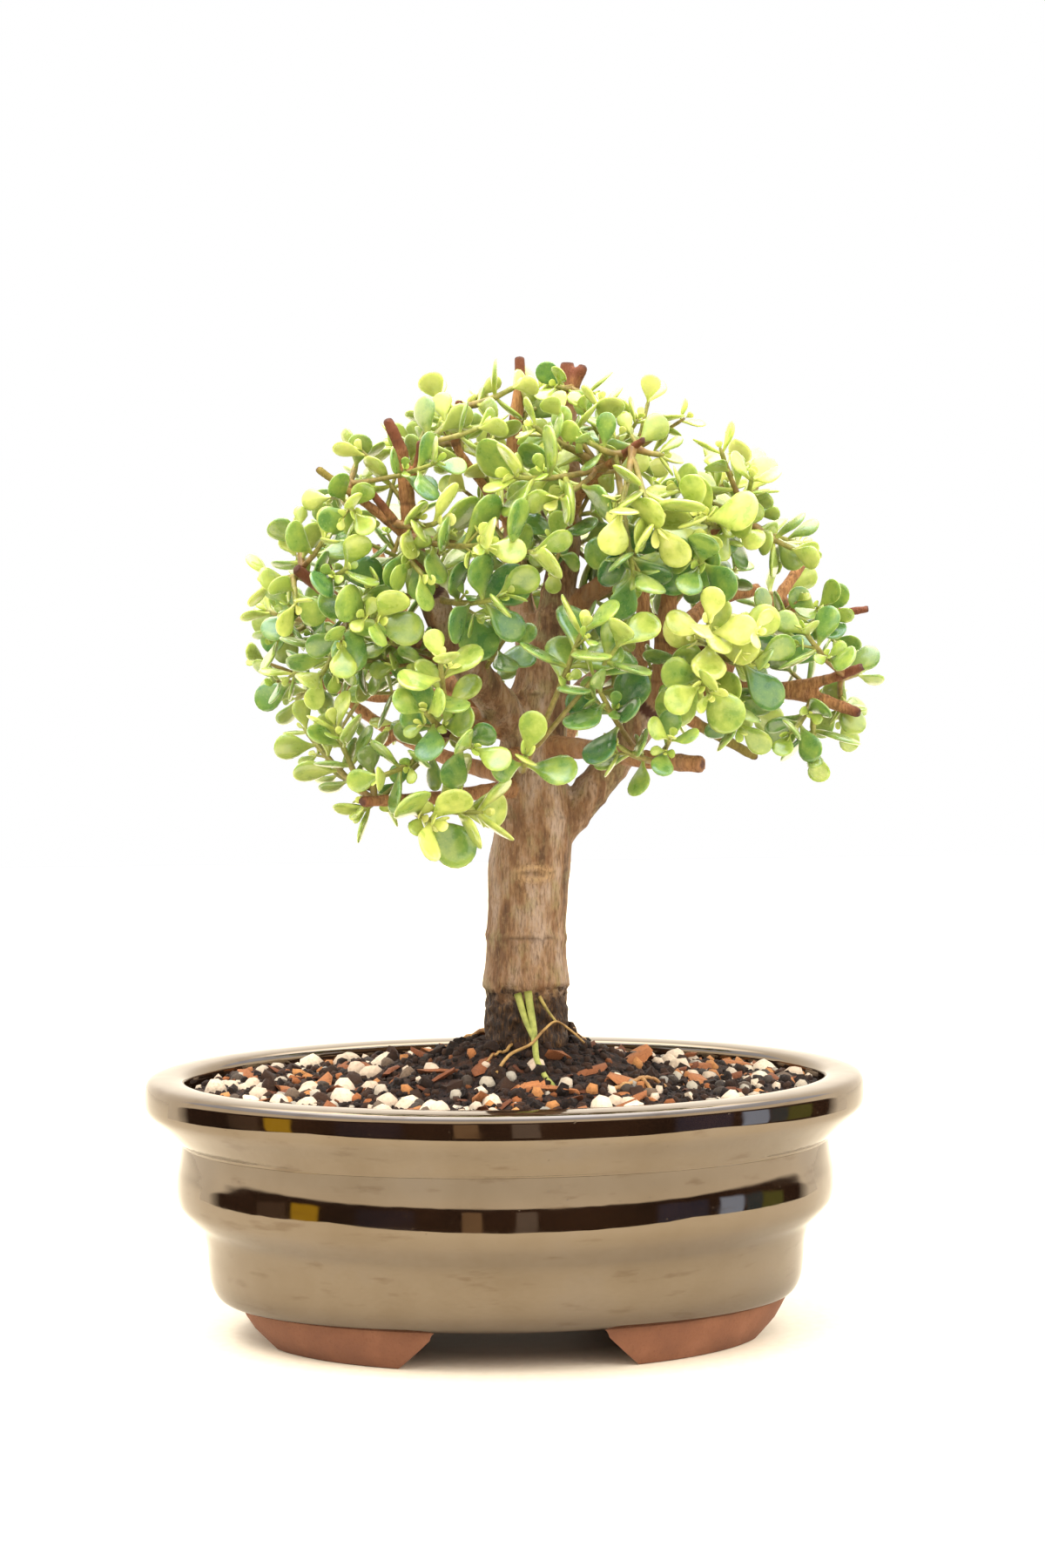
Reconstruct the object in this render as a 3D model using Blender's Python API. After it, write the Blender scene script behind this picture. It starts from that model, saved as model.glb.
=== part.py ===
"""A dwarf jade tree trained as a bonsai, standing in the soil of an oval glazed pot.

Metres, +Z up. The sizes below are millimetres, measured from the middle of the pot at
floor level, and +X runs along the pot's long side with -Y towards the front. The whole
plant and pot hang on one empty, which brings the middle of the part's box to the origin.
"""
import math
import random

import bmesh
import bpy
from mathutils import Matrix, Vector
from mathutils.bvhtree import BVHTree

MM = 0.001
ROOM = 0.35
BOX_CENTRE_X = 1.6
BOX_CENTRE_Y = 0.0

# The pot: outlines are (inset from the rim's oval, height), both from the base upwards.
POT_HALF_X = 101.6
POT_HALF_Y = 77.0
POT_SIDES = 34
POT_UNDERSIDE = 11.0
POT_FLOOR = 17.0
POT_OUTSIDE = [
    (22.5, 11.0), (18.2, 15.6), (17.6, 22.0), (16.7, 29.4), (14.0, 33.4), (9.8, 37.4),
    (8.9, 44.0), (10.4, 52.0), (9.4, 56.3), (5.8, 60.4), (2.4, 64.7), (0.3, 67.4), (0.2, 71.0), (2.6, 73.3)]
POT_INSIDE = [(10.6, 73.1), (12.0, 71.4), (16.6, 58.0), (16.6, 40.0), (25.0, 17.0)]
FOOT_BOTTOM_X = 74.9
FOOT_BOTTOM_Y = 54.05
FOOT_TOP_INSET = 23.4
FOOT_TOP = 12.5
FOOT_WIDTH = 14.0
FRONT_ARCH = (23.0, 32.75)
END_ARCH = (14.0, 22.0)
DRAIN_X = 38.0
DRAIN_RADIUS = 6.0
DRAIN_SIDES = 16

# The plastic net laid over each drain hole.
SCREEN_SIDE = 22.4
SCREEN_CELLS = 7
SCREEN_THICK = 0.8

# The soil and its lumps.
SOIL_SIDES = 24
SOIL_EDGE = 70.2
SOIL_MOUND = 13.5
MOUND_CENTRE_X = 4.0
MOUND_REACH_X = 34.0
MOUND_REACH_Y = 30.0
SOIL_SHARES = [1.0, 0.82, 0.64, 0.46, 0.3, 0.2]
LUMPS = 16
LUMP_RADII = (1.6, 3.0)

# The trunk, and the root stock below it in its hole in the soil.
TRUNK_SIDES = 10
TRUNK = [(6, 0, 58), (6, 0, 84), (6, 0, 92), (6, 0, 106), (7, 0, 130), (8.5, 0, 143), (8, 0, 152),
         (8, 0, 162), (10, 0, 175), (12, 0, 190)]
TRUNK_RADII = [9.5, 12.3, 11.9, 11.5, 11.1, 11.6, 10.6, 9.6, 8.6, 7.4]
HOLE_DEPTH = 57.3

# Limbs and cut ends: name, sides, radius at the start and at the end, route.
LIMBS = [
    ("leader", 7, 5.9, 2.0, [(11, 0, 184), (15, 0, 204), (18, 0, 223), (19, 2, 243), (19, 4, 259), (19, 5, 273)]),
    ("leader_fork", 4, 1.9, 1.5, [(19, 4, 262), (21.5, 3, 268), (23.5, 2, 272)]),
    ("leader_left", 7, 4.1, 1.5, [(10, 0, 184), (6, 6, 204), (4, 8, 223), (4, 10, 248), (6, 10, 267), (6, 10, 275)]),
    ("left_limb", 7, 5.6, 4.0, [(5, -2, 170), (-3, -9, 179), (-12, -20, 191), (-18, -24, 201), (-21, -28, 209)]),
    ("left_up", 6, 3.1, 1.5, [(-18, -23, 201), (-25, -28, 219), (-28, -30, 238), (-29, -32, 247), (-33, -34, 256)]),
    ("arm_high", 6, 2.9, 1.6, [(-10, -17, 188), (-18, -16, 191), (-28, -18, 195), (-45, -24, 206), (-58, -30, 216)]),
    ("arm_far", 5, 2.2, 1.5, [(-24, -16, 193), (-33, -8, 193), (-40, -2, 194), (-53, 8, 203)]),
    ("arm_back", 5, 2.8, 1.5, [(2, 3, 176), (-10, 8, 181), (-21, 18, 187), (-34, 28, 187), (-46, 34, 189)]),
    ("arm_mid", 5, 2.4, 1.3, [(4, 2, 172), (-12, 9, 177), (-22, 14, 180), (-36, 20, 179), (-55, 24, 184)]),
    ("arm_low", 6, 2.9, 1.5, [(4, 0, 170), (-12, 1, 175), (-20, 4, 176), (-27, 6, 171), (-36, 8, 165)]),
    ("front_cut", 5, 2.8, 2.1, [(3, -2, 170), (-5, -8, 171), (-13, -22, 171), (-18, -38, 172)]),
    ("low_left", 5, 2.4, 1.5, [(5, -3, 154), (-4, -14, 154), (-19, -24, 153), (-41, -38, 153)]),
    ("front_shoot", 5, 1.9, 1.1, [(5, -4, 163), (0, -16, 164), (2, -28, 162), (3, -38, 161)]),
    ("right_main", 9, 6.4, 4.9, [(10, 0, 136), (15, 0, 141), (21, 1, 148), (30, 2, 159), (37, 0, 169), (41, -2, 175)]),
    ("right_up", 6, 3.6, 1.6, [(40, -1, 171), (44, -6, 183), (45, -8, 198), (48, -6, 216), (54, -4, 230)]),
    ("right_back_up", 6, 2.8, 1.5, [(33, 2, 163), (38, 12, 179), (41, 18, 191), (42, 22, 206), (44, 24, 230)]),
    ("right_arm", 6, 3.3, 1.5, [(40, -1, 173), (52, -6, 178), (63, -12, 182), (82, -20, 180), (97, -26, 175)]),
    ("right_fork", 5, 1.9, 1.3, [(72, -16, 181), (87, -23, 184), (97, -30, 188)]),
    ("right_olive", 5, 2.1, 1.3, [(40, 2, 173), (49, 5, 174), (59, 7, 169), (73, 8, 161)]),
    ("right_front", 6, 3.0, 2.3, [(9, -4, 166), (25, -16, 165), (37, -26, 163), (52, -36, 162)]),
    ("right_slant", 5, 2.4, 1.4, [(58, -9, 180), (66, 0, 192), (75, 8, 201), (91, 18, 221)]),
    ("right_red", 4, 1.5, 1.1, [(80, 11, 205), (91, 10, 202), (105, 8, 203)]),
    ("rise_right", 6, 3.3, 1.6, [(15, 1, 197), (23, -4, 207), (32, -10, 213), (45, -14, 218), (69, -22, 232)]),
    ("broken", 5, 2.4, 1.8, [(45, -6, 190), (53, 5, 200), (62, 12, 206), (75, 17, 209)]),
    ("red_cut", 4, 1.6, 1.3, [(45, -7, 193), (50, -18, 194), (57, -26, 192)]),
    ("back_left", 6, 3.8, 1.5, [(8, 2, 168), (-6, 16, 176), (-18, 32, 190), (-28, 42, 206), (-34, 46, 222)]),
    ("back_middle", 6, 3.6, 1.5, [(11, 2, 180), (10, 22, 196), (8, 38, 212), (4, 46, 230)]),
    ("back_right", 6, 3.6, 1.5, [(12, 3, 172), (26, 18, 182), (44, 34, 196), (58, 42, 212)]),
    ("back_low", 5, 2.8, 1.5, [(9, 4, 150), (14, 26, 158), (22, 44, 166), (30, 54, 178)]),
    ("back_low_left", 5, 2.8, 1.5, [(6, 4, 156), (-12, 24, 160), (-30, 40, 168), (-44, 44, 178)]),
    ("cut_520", 4, 1.5, 1.2, [(4, 8, 226), (-6, 0, 240), (-13, -6, 250), (-12, -8, 262)]),
    ("cut_490", 4, 1.4, 1.1, [(-28, -30, 236), (-25, -34, 243), (-24, -37, 250)]),
    ("cut_370", 4, 1.5, 1.1, [(-27, -29, 224), (-37, -29, 232), (-45, -28, 238), (-52, -28, 243)]),
    ("cut_425", 4, 1.5, 1.1, [(-26, -29, 219), (-31, -36, 228), (-39, -40, 238)]),
    ("cut_755", 4, 1.5, 1.2, [(19, 1, 232), (28, -8, 242), (36, -14, 248), (41, -16, 256)]),
    ("cut_735", 4, 1.5, 1.1, [(18, 0, 226), (22, -18, 238), (28, -30, 244), (36, -40, 250)]),
]

# Thin roots lying on the soil: radius and route seen from above; height follows the soil.
ROOTS = [
    (1.3, [(6, -9), (9, -17), (12, -24), (14, -33)]),
    (0.8, [(2, -9), (-2, -16), (-8, -21)]),
    (0.8, [(12, -7), (20, -15), (27, -22)]),
    (0.9, [(-3, 6), (-12, 12), (-20, 15)]),
    (0.9, [(16, 5), (24, 10), (31, 12)]),
]
ROOT_HEIGHTS = [5.0, 1.8, 0.8, 0.5]

# Leafy sprays: each line is one twig and its forks, as (x, y, z, leaf length) of every tip.
SPRAYS = [
    [(15, -6, 266, 9), (26, -2, 264, 9)],
    [(4, -8, 266, 9), (-6, -2, 264, 8)],
    [(-16, -22, 256, 10), (-7, -34, 254, 9)],
    [(-40, -18, 248, 9), (-20, -44, 244, 10)],
    [(-48, -20, 235, 10), (-42, -44, 231, 10)],
    [(-57, -18, 228, 9), (-50, -36, 224, 10)],
    [(-66, -24, 213, 10), (-58, -38, 206, 10)],
    [(-60, -8, 206, 10), (-64, -2, 196, 10)],
    [(-44, -42, 216, 13)],
    [(-36, -46, 202, 13), (-46, -42, 196, 11)],
    [(-52, -30, 186, 10), (-60, -18, 186, 10)],
    [(-56, -16, 172, 11), (-48, -34, 174, 11)],
    [(-38, -30, 166, 10), (-48, -20, 160, 10)],
    [(-36, -42, 160, 11), (-40, -30, 150, 11)],
    [(-22, -44, 148, 16), (-8, -40, 150, 15)],
    [(-24, -50, 178, 12)],
    [(-11, -50, 168, 12)],
    [(-20, -52, 192, 11)],
    [(3, -48, 166, 14)],
    [(-4, -50, 208, 14)],
    [(-8, -52, 222, 14), (6, -52, 220, 14)],
    [(0, -46, 240, 15), (12, -46, 234, 14)],
    [(-20, -50, 228, 13)],
    [(-24, -48, 214, 12)],
    [(18, -54, 200, 14), (28, -54, 196, 14)],
    [(22, -52, 184, 13)],
    [(28, -44, 168, 10), (42, -48, 170, 10)],
    [(52, -50, 201, 12), (62, -46, 200, 11)],
    [(50, -48, 184, 14)],
    [(28, -52, 230, 14), (38, -50, 226, 14)],
    [(32, -50, 213, 13)],
    [(50, -44, 230, 14), (62, -34, 226, 11)],
    [(50, -46, 216, 14)],
    [(67, -40, 190, 14), (62, -36, 172, 12)],
    [(76, -34, 170, 11), (84, -28, 164, 11)],
    [(98, -18, 186, 9), (94, -10, 172, 10)],
    [(80, -36, 198, 11), (88, -30, 192, 10)],
    [(88, -8, 204, 10), (94, 2, 194, 9)],
    [(80, -22, 220, 10), (84, -4, 222, 10)],
    [(66, -34, 240, 10), (58, -28, 248, 10)],
    [(42, -34, 246, 9), (34, -24, 252, 9)],
    [(20, -40, 250, 9), (30, -36, 242, 9)],
    [(6, -36, 254, 9), (14, -30, 258, 9)],
    [(-16, 14, 256, 10), (-30, 4, 250, 10)],
    [(18, 24, 258, 10), (34, 12, 252, 10)],
    [(-50, 8, 228, 10), (-42, 22, 236, 10)],
    [(-66, 12, 204, 10), (-60, 28, 200, 11)],
    [(-58, 32, 178, 11), (-44, 44, 186, 12)],
    [(-36, 54, 206, 13), (-24, 46, 232, 12)],
    [(-14, 56, 220, 13), (2, 56, 236, 12)],
    [(8, 54, 208, 13), (20, 48, 226, 12)],
    [(46, 30, 240, 10), (60, 18, 238, 11)],
    [(54, 52, 206, 13), (66, 42, 222, 12)],
    [(84, 26, 208, 11), (76, 34, 196, 12)],
    [(30, 58, 184, 13), (12, 56, 172, 12), (-28, 52, 170, 12)],
]
PAIR_SPACING = 5.4
PAIRS_MAIN = 4
PAIRS_FORK = 3
TWIG_RADII = (1.05, 0.7)
FORK_RADII = (0.85, 0.65)
PAIR_HEIGHT = 1.2
PATH_STEPS = 12
STARTS_TRIED = 6
TIP_OPENING = (36, 50)
PAIR_OPENING = (56, 76)
BENDS = [(0, 0, -3), (0, 4, -1), (0, -4, -1), (4, 0, 0), (-4, 0, 0), (0, 0, 5), (6, 6, 0), (-6, 6, 0)]
LEAF_TRIES = 7
LEAF_GROWTH = 1.15
LEAF_WIDTH = 0.4
LEAF_THICK = 0.15
LEAF_CENTRE = 0.6
LONG_OUTLINE = [(0.28, 0.54), (0.62, 1.0), (0.9, 0.72)]
SHORT_OUTLINE = [(0.4, 0.82), (0.82, 0.88)]
LONG_LEAF = 17.0
SEED = 7


def linear(hex_colour):
    """Turns an sRGB hex colour into linear red, green, blue and alpha."""
    values = []
    for start in (1, 3, 5):
        share = int(hex_colour[start:start + 2], 16) / 255
        values.append(share / 12.92 if share <= 0.04045 else ((share + 0.055) / 1.055) ** 2.4)
    return (*values, 1.0)


def make_finish(name, hex_colour, roughness, metallic=0.0):
    finish = bpy.data.materials.new(name)
    finish.use_nodes = True
    shader = finish.node_tree.nodes["Principled BSDF"]
    shader.inputs["Base Color"].default_value = linear(hex_colour)
    shader.inputs["Roughness"].default_value = roughness
    shader.inputs["Metallic"].default_value = metallic
    finish.diffuse_color = linear(hex_colour)
    return finish


def make_object(name, points, faces):
    """Makes an object from points in millimetres, with its faces turned outwards."""
    mesh = bpy.data.meshes.new(name)
    mesh.from_pydata([Vector(point) * MM for point in points], [], faces)
    work = bmesh.new()
    work.from_mesh(mesh)
    bmesh.ops.recalc_face_normals(work, faces=work.faces)
    work.to_mesh(mesh)
    work.free()
    made = bpy.data.objects.new(name, mesh)
    bpy.context.scene.collection.objects.link(made)
    return made


def combine(target, others, operation, solver):
    """Joins other objects to the target, or cuts them from it, and removes them."""
    group = bpy.data.collections.new("group")
    bpy.context.scene.collection.children.link(group)
    for other in others:
        bpy.context.scene.collection.objects.unlink(other)
        group.objects.link(other)
    step = target.modifiers.new("combine", "BOOLEAN")
    step.operation = operation
    step.operand_type = "COLLECTION"
    step.collection = group
    step.solver = solver
    shapes = bpy.context.evaluated_depsgraph_get()
    result = bpy.data.meshes.new_from_object(target.evaluated_get(shapes))
    target.modifiers.clear()
    target.data = result
    for other in others:
        bpy.data.objects.remove(other)
    bpy.data.collections.remove(group)


def smooth_route(points, steps):
    """Reads a smooth curve through the given points, with some steps for each span."""
    knots = [Vector(point) for point in points]
    ends = [2 * knots[0] - knots[1]] + knots + [2 * knots[-1] - knots[-2]]
    route = []
    for index in range(len(knots) - 1):
        before, start, end, after = ends[index:index + 4]
        for step in range(steps):
            t = step / steps
            route.append(0.5 * (2 * start + (end - before) * t + (2 * before - 5 * start + 4 * end - after) * t * t
                                + (3 * start - before - 3 * end + after) * t ** 3))
    route.append(knots[-1])
    return route


def blend(values, share):
    """Reads a list of numbers at a share of its length."""
    place = share * (len(values) - 1)
    index = min(int(place), len(values) - 2)
    return values[index] + (values[index + 1] - values[index]) * (place - index)


def tube_shape(route, radii, sides):
    """Gives the points and faces of a closed tube along a route."""
    points = []
    side = None
    last = len(route) - 1
    for index, centre in enumerate(route):
        ahead = (route[min(index + 1, last)] - route[max(index - 1, 0)]).normalized()
        if side is None:
            side = ahead.orthogonal().normalized()
        side = (side - ahead * side.dot(ahead)).normalized()
        across = ahead.cross(side)
        radius = blend(radii, index / last)
        for corner in range(sides):
            angle = math.tau * corner / sides
            points.append(centre + (side * math.cos(angle) + across * math.sin(angle)) * radius)
    faces = loft_faces(len(route), sides)
    return points, faces


def loft_faces(rings, sides):
    """Gives the faces of a closed loft between rings of points, with both ends capped."""
    faces = [list(range(sides))]
    for ring in range(rings - 1):
        for corner in range(sides):
            following = (corner + 1) % sides
            low = ring * sides
            high = low + sides
            faces.append([low + corner, low + following, high + following, high + corner])
    faces.append([(rings - 1) * sides + corner for corner in range(sides)])
    return faces


def oval(half_x, half_y, height, sides):
    ring = []
    for corner in range(sides):
        angle = math.tau * corner / sides
        ring.append(Vector((half_x * math.cos(angle), half_y * math.sin(angle), height)))
    return ring


def inset_oval(inset, height, sides=POT_SIDES):
    return oval(POT_HALF_X - inset, POT_HALF_Y - inset, height, sides)


def make_loft(name, rings):
    points = [point for ring in rings for point in ring]
    return make_object(name, points, loft_faces(len(rings), len(rings[0])))


def make_arch(name, half_widths, reach, along_x):
    """Makes the cutter of one arch between the feet, wider at the bottom, right through."""
    slope = (half_widths[1] - half_widths[0]) / POT_UNDERSIDE
    low = -1.0
    high = FOOT_TOP + 1.0
    rings = []
    for height in (low, high):
        half = half_widths[1] - slope * height
        corners = [(-half, -reach), (half, -reach), (half, reach), (-half, reach)]
        if along_x:
            corners = [(y, x) for x, y in corners]
        rings.append([Vector((x, y, height)) for x, y in corners])
    return make_loft(name, rings)


def make_pot():
    rings = [inset_oval(inset, height) for inset, height in POT_OUTSIDE + POT_INSIDE]
    pot = make_loft("pot", rings)
    foot_top = (POT_HALF_X - FOOT_TOP_INSET, POT_HALF_Y - FOOT_TOP_INSET)
    feet = make_loft("feet", [
        oval(FOOT_BOTTOM_X, FOOT_BOTTOM_Y, 0, POT_SIDES), oval(*foot_top, FOOT_TOP, POT_SIDES)])
    hollow = make_loft("hollow", [
        oval(FOOT_BOTTOM_X - FOOT_WIDTH, FOOT_BOTTOM_Y - FOOT_WIDTH, -1.0, POT_SIDES),
        oval(foot_top[0] - FOOT_WIDTH, foot_top[1] - FOOT_WIDTH, FOOT_TOP + 1.0, POT_SIDES)])
    arches = [make_arch("front_arch", FRONT_ARCH, POT_HALF_Y, False), make_arch("end_arch", END_ARCH, POT_HALF_X, True)]
    combine(feet, [hollow] + arches, "DIFFERENCE", "MANIFOLD")
    combine(pot, [feet], "UNION", "MANIFOLD")
    drains = []
    for side in (-1, 1):
        drain = make_loft("drain", [
            oval(DRAIN_RADIUS, DRAIN_RADIUS, height, DRAIN_SIDES) for height in (POT_UNDERSIDE - 1, POT_FLOOR + 1)])
        for vertex in drain.data.vertices:
            vertex.co.x += side * DRAIN_X * MM
        drains.append(drain)
    combine(pot, drains, "DIFFERENCE", "MANIFOLD")
    return pot


def make_screen(name, middle_x):
    """Makes one square net with a grid of holes."""
    low = POT_FLOOR + ROOM
    pitch = SCREEN_SIDE / SCREEN_CELLS
    work = bmesh.new()
    count = SCREEN_CELLS + 1
    grid = []
    for row in range(count):
        for column in range(count):
            x = middle_x - SCREEN_SIDE / 2 + column * pitch
            y = -SCREEN_SIDE / 2 + row * pitch
            grid.append(work.verts.new(Vector((x, y, low)) * MM))
    for row in range(SCREEN_CELLS):
        for column in range(SCREEN_CELLS):
            if row % 2 and column % 2:
                continue
            corner = row * count + column
            work.faces.new([grid[corner], grid[corner + 1], grid[corner + count + 1], grid[corner + count]])
    lifted = bmesh.ops.extrude_face_region(work, geom=list(work.faces))
    for part in lifted["geom"]:
        if isinstance(part, bmesh.types.BMVert):
            part.co.z += SCREEN_THICK * MM
    bmesh.ops.recalc_face_normals(work, faces=work.faces)
    mesh = bpy.data.meshes.new(name)
    work.to_mesh(mesh)
    work.free()
    made = bpy.data.objects.new(name, mesh)
    bpy.context.scene.collection.objects.link(made)
    return made


def soil_height(x, y):
    """Height of the soil, with its mound round the trunk and its low waves."""
    mound = SOIL_MOUND * math.exp(-((x - MOUND_CENTRE_X) / MOUND_REACH_X) ** 2 - (y / MOUND_REACH_Y) ** 2)
    waves = 0.6 * math.sin(0.21 * x + 1.3) * math.cos(0.27 * y) + 0.5 * math.sin(0.09 * x - 0.17 * y)
    return SOIL_EDGE + mound + waves


def root_route(plan):
    """Lays a root on the soil: high at the trunk, then just clear of the surface."""
    route = smooth_route([(x, y, 0) for x, y in plan], 3)
    last = len(route) - 1
    for index, point in enumerate(route):
        rise = blend(ROOT_HEIGHTS, index / last) + 1.2
        point.z = soil_height(point.x, point.y) + rise
    return route


def make_soil():
    walls = [(25.4, POT_FLOOR + ROOM), (17.0, 40.0), (17.0, 58.0), (13.3, 68.8)]
    rings = [inset_oval(inset, height, SOIL_SIDES) for inset, height in walls]
    edge = 13.5
    for share in SOIL_SHARES:
        ring = oval((POT_HALF_X - edge) * share, (POT_HALF_Y - edge) * share, 0, SOIL_SIDES)
        for point in ring:
            point.x += MOUND_CENTRE_X * (1 - share)
            point.z = soil_height(point.x, point.y)
        rings.append(ring)
    soil = make_loft("soil", rings)
    lumps = scatter_lumps()
    combine(soil, lumps, "UNION", "MANIFOLD")
    cuts = [make_loft("hole", [hole_ring(height) for height in (HOLE_DEPTH, 95.0)])]
    half = SCREEN_SIDE / 2 + ROOM
    for side in (-1, 1):
        square = [(-half, -half), (half, -half), (half, half), (-half, half)]
        cuts.append(make_loft("pocket", [
            [Vector((x + side * DRAIN_X, y, height)) for x, y in square]
            for height in (POT_FLOOR, POT_FLOOR + SCREEN_THICK + 2 * ROOM)]))
    combine(soil, cuts, "DIFFERENCE", "MANIFOLD")
    return soil


def hole_ring(height):
    """One ring of the hole that the root stock stands in."""
    radius = max(TRUNK_RADII) + ROOM + 0.25
    ring = oval(radius, radius, height, TRUNK_SIDES)
    for point in ring:
        point.x += TRUNK[0][0]
        point.y += TRUNK[0][1]
    return ring


def scatter_lumps():
    """Sets the larger lumps half into the soil, clear of the trunk, the roots and the rim."""
    draw = random.Random(SEED)
    trunk = Vector(TRUNK[1][:2])
    roots = [Vector(point[:2]) for _, plan in ROOTS for point in root_route(plan)]
    placed = []
    lumps = []
    while len(lumps) < LUMPS:
        share = math.sqrt(draw.uniform(0.06, 0.9))
        angle = draw.uniform(0, math.tau)
        radius = draw.uniform(*LUMP_RADII)
        reach = POT_INSIDE[1][0] + radius * 1.25 + 1.2
        spot = Vector(((POT_HALF_X - reach) * share * math.cos(angle), (POT_HALF_Y - reach) * share * math.sin(angle)))
        clear = (spot - trunk).length > max(TRUNK_RADII) + radius * 1.3 + 1
        clear = clear and all((spot - root).length > radius * 1.3 + 2.2 for root in roots)
        clear = clear and all((spot - other).length > radius + size + 0.6 for other, size in placed)
        if not clear:
            continue
        placed.append((spot, radius))
        lumps.append(make_lump(draw, spot, radius))
    return lumps


def make_lump(draw, spot, radius):
    work = bmesh.new()
    bmesh.ops.create_icosphere(work, subdivisions=1, radius=radius)
    for vertex in work.verts:
        vertex.co *= draw.uniform(0.85, 1.15)
    turn = Matrix.Rotation(draw.uniform(0, math.tau), 3, "Z") @ Matrix.Rotation(draw.uniform(0, math.pi), 3, "X")
    height = soil_height(spot.x, spot.y) + radius * 0.3
    points = [turn @ vertex.co + Vector((spot.x, spot.y, height)) for vertex in work.verts]
    faces = [[vertex.index for vertex in face.verts] for face in work.faces]
    work.free()
    return make_object("lump", points, faces)


def make_wood():
    points, faces = tube_shape([Vector(point) for point in TRUNK], TRUNK_RADII, TRUNK_SIDES)
    wood = make_object("wood", points, faces)
    pieces = []
    for name, sides, start_radius, end_radius, knots in LIMBS:
        route = smooth_route(knots, 1)
        pieces.append(make_object(name, *tube_shape(route, [start_radius, end_radius], sides)))
    for radius, plan in ROOTS:
        pieces.append(make_object("root", *tube_shape(root_route(plan), [radius, radius * 0.7], 4)))
    combine(wood, pieces, "UNION", "MANIFOLD")
    return wood


def mesh_tree(made):
    """A search tree of an object's faces, in millimetres."""
    points = [vertex.co / MM for vertex in made.data.vertices]
    return BVHTree.FromPolygons(points, [list(face.vertices) for face in made.data.polygons])


def limb_spots():
    """Points close together along every limb, which the twigs can grow from."""
    spots = []
    for _, _, _, _, knots in LIMBS:
        route = smooth_route(knots, 6)
        spots.extend(route[4:-1])
    return spots


def twig_path(start, tip, bend):
    """A twig's curve, bent aside at its middle, read as close points with their distances."""
    middle = (start + tip) / 2 + Vector(bend) * min(1, (tip - start).length / 24)
    points = []
    for step in range(PATH_STEPS + 1):
        t = step / PATH_STEPS
        points.append(start * (1 - t) ** 2 + middle * 2 * t * (1 - t) + tip * t * t)
    distances = [0.0]
    for before, after in zip(points, points[1:]):
        distances.append(distances[-1] + (after - before).length)
    return points, distances


def place_on(path, distance):
    """Point and direction of a path at a distance from its start."""
    points, distances = path
    index = 1
    while index < len(points) - 1 and distances[index] < distance:
        index += 1
    ahead = (points[index] - points[index - 1]).normalized()
    return points[index] + ahead * (distance - distances[index]), ahead


def twig_stations(length, pairs, first, forked):
    """Distances of a twig's rings, and which stretches between rings bear a pair of leaves."""
    stations = []
    for pair in range(pairs):
        middle = length - PAIR_HEIGHT - pair * PAIR_SPACING
        if middle < max(first + 2.0, 0.3 * length):
            break
        stations = [middle - PAIR_HEIGHT / 2, middle + PAIR_HEIGHT / 2] + stations
    bearing = {index: (len(stations) // 2 - 1 - index // 2) for index in range(0, len(stations), 2)}
    lead = [first, (first + (stations[0] if stations else length)) / 2] if forked else [first]
    return lead + stations, {index + len(lead): pair for index, pair in bearing.items()}


def twig_rings(path, stations, radii, key):
    """Four-cornered rings of a twig, turned alike along it, as (place, ahead, corners)."""
    side = place_on(path, 0.0)[1].orthogonal().normalized()
    side = Matrix.Rotation(key * 0.7, 3, place_on(path, 0.0)[1]) @ side
    rings = []
    length = path[1][-1]
    for distance in stations:
        place, ahead = place_on(path, distance)
        side = (side - ahead * side.dot(ahead)).normalized()
        across = ahead.cross(side)
        radius = blend(radii, distance / length)
        corners = []
        for corner in range(4):
            angle = math.tau * (corner + 0.5) / 4
            corners.append(place + (side * math.cos(angle) + across * math.sin(angle)) * radius)
        rings.append((place, ahead, corners))
    return rings


def leaf_frame(place, ahead, outward, size, key, pair, side, attempt):
    """Base, length direction, face direction and length of one leaf of a pair."""
    draw = random.Random(key * 256 + pair * 32 + side * 16 + attempt)
    outward = Matrix.Rotation(draw.uniform(-0.2, 0.2) * (1 + attempt), 3, ahead) @ outward
    closed, opened = TIP_OPENING if pair == 0 else PAIR_OPENING
    open_angle = math.radians(draw.uniform(closed, opened) - 5 * attempt)
    along = (ahead * math.cos(open_angle) + outward * math.sin(open_angle)).normalized()
    face = (ahead * math.sin(open_angle) - outward * math.cos(open_angle)).normalized()
    face = (Matrix.Rotation(draw.uniform(-0.35, 0.35), 3, along) @ face).normalized()
    length = LEAF_GROWTH * size * draw.uniform(0.86, 1.12) * (0.82 if pair == 0 else 1.0) * (1 - 0.05 * attempt)
    return place, along, face, length


def leaf_blade(place, along, face, length, grow=0.0):
    """Points of one thick leaf: its rim from left to right, then its top and bottom centre."""
    across = face.cross(along)
    half = length * LEAF_WIDTH + grow
    thick = length * LEAF_THICK + 2 * grow
    outline = LONG_OUTLINE if length >= LONG_LEAF else SHORT_OUTLINE
    left = [(share * length, -width * half) for share, width in outline]
    right = [(share * length, width * half) for share, width in reversed(outline)]
    rim = left + [(length + grow, 0.0)] + right
    points = [place + along * forward + across * aside + face * 0.1 * thick for forward, aside in rim]
    middle = place + along * LEAF_CENTRE * length
    return points + [middle + face * 0.42 * thick, middle - face * 0.58 * thick]


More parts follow.
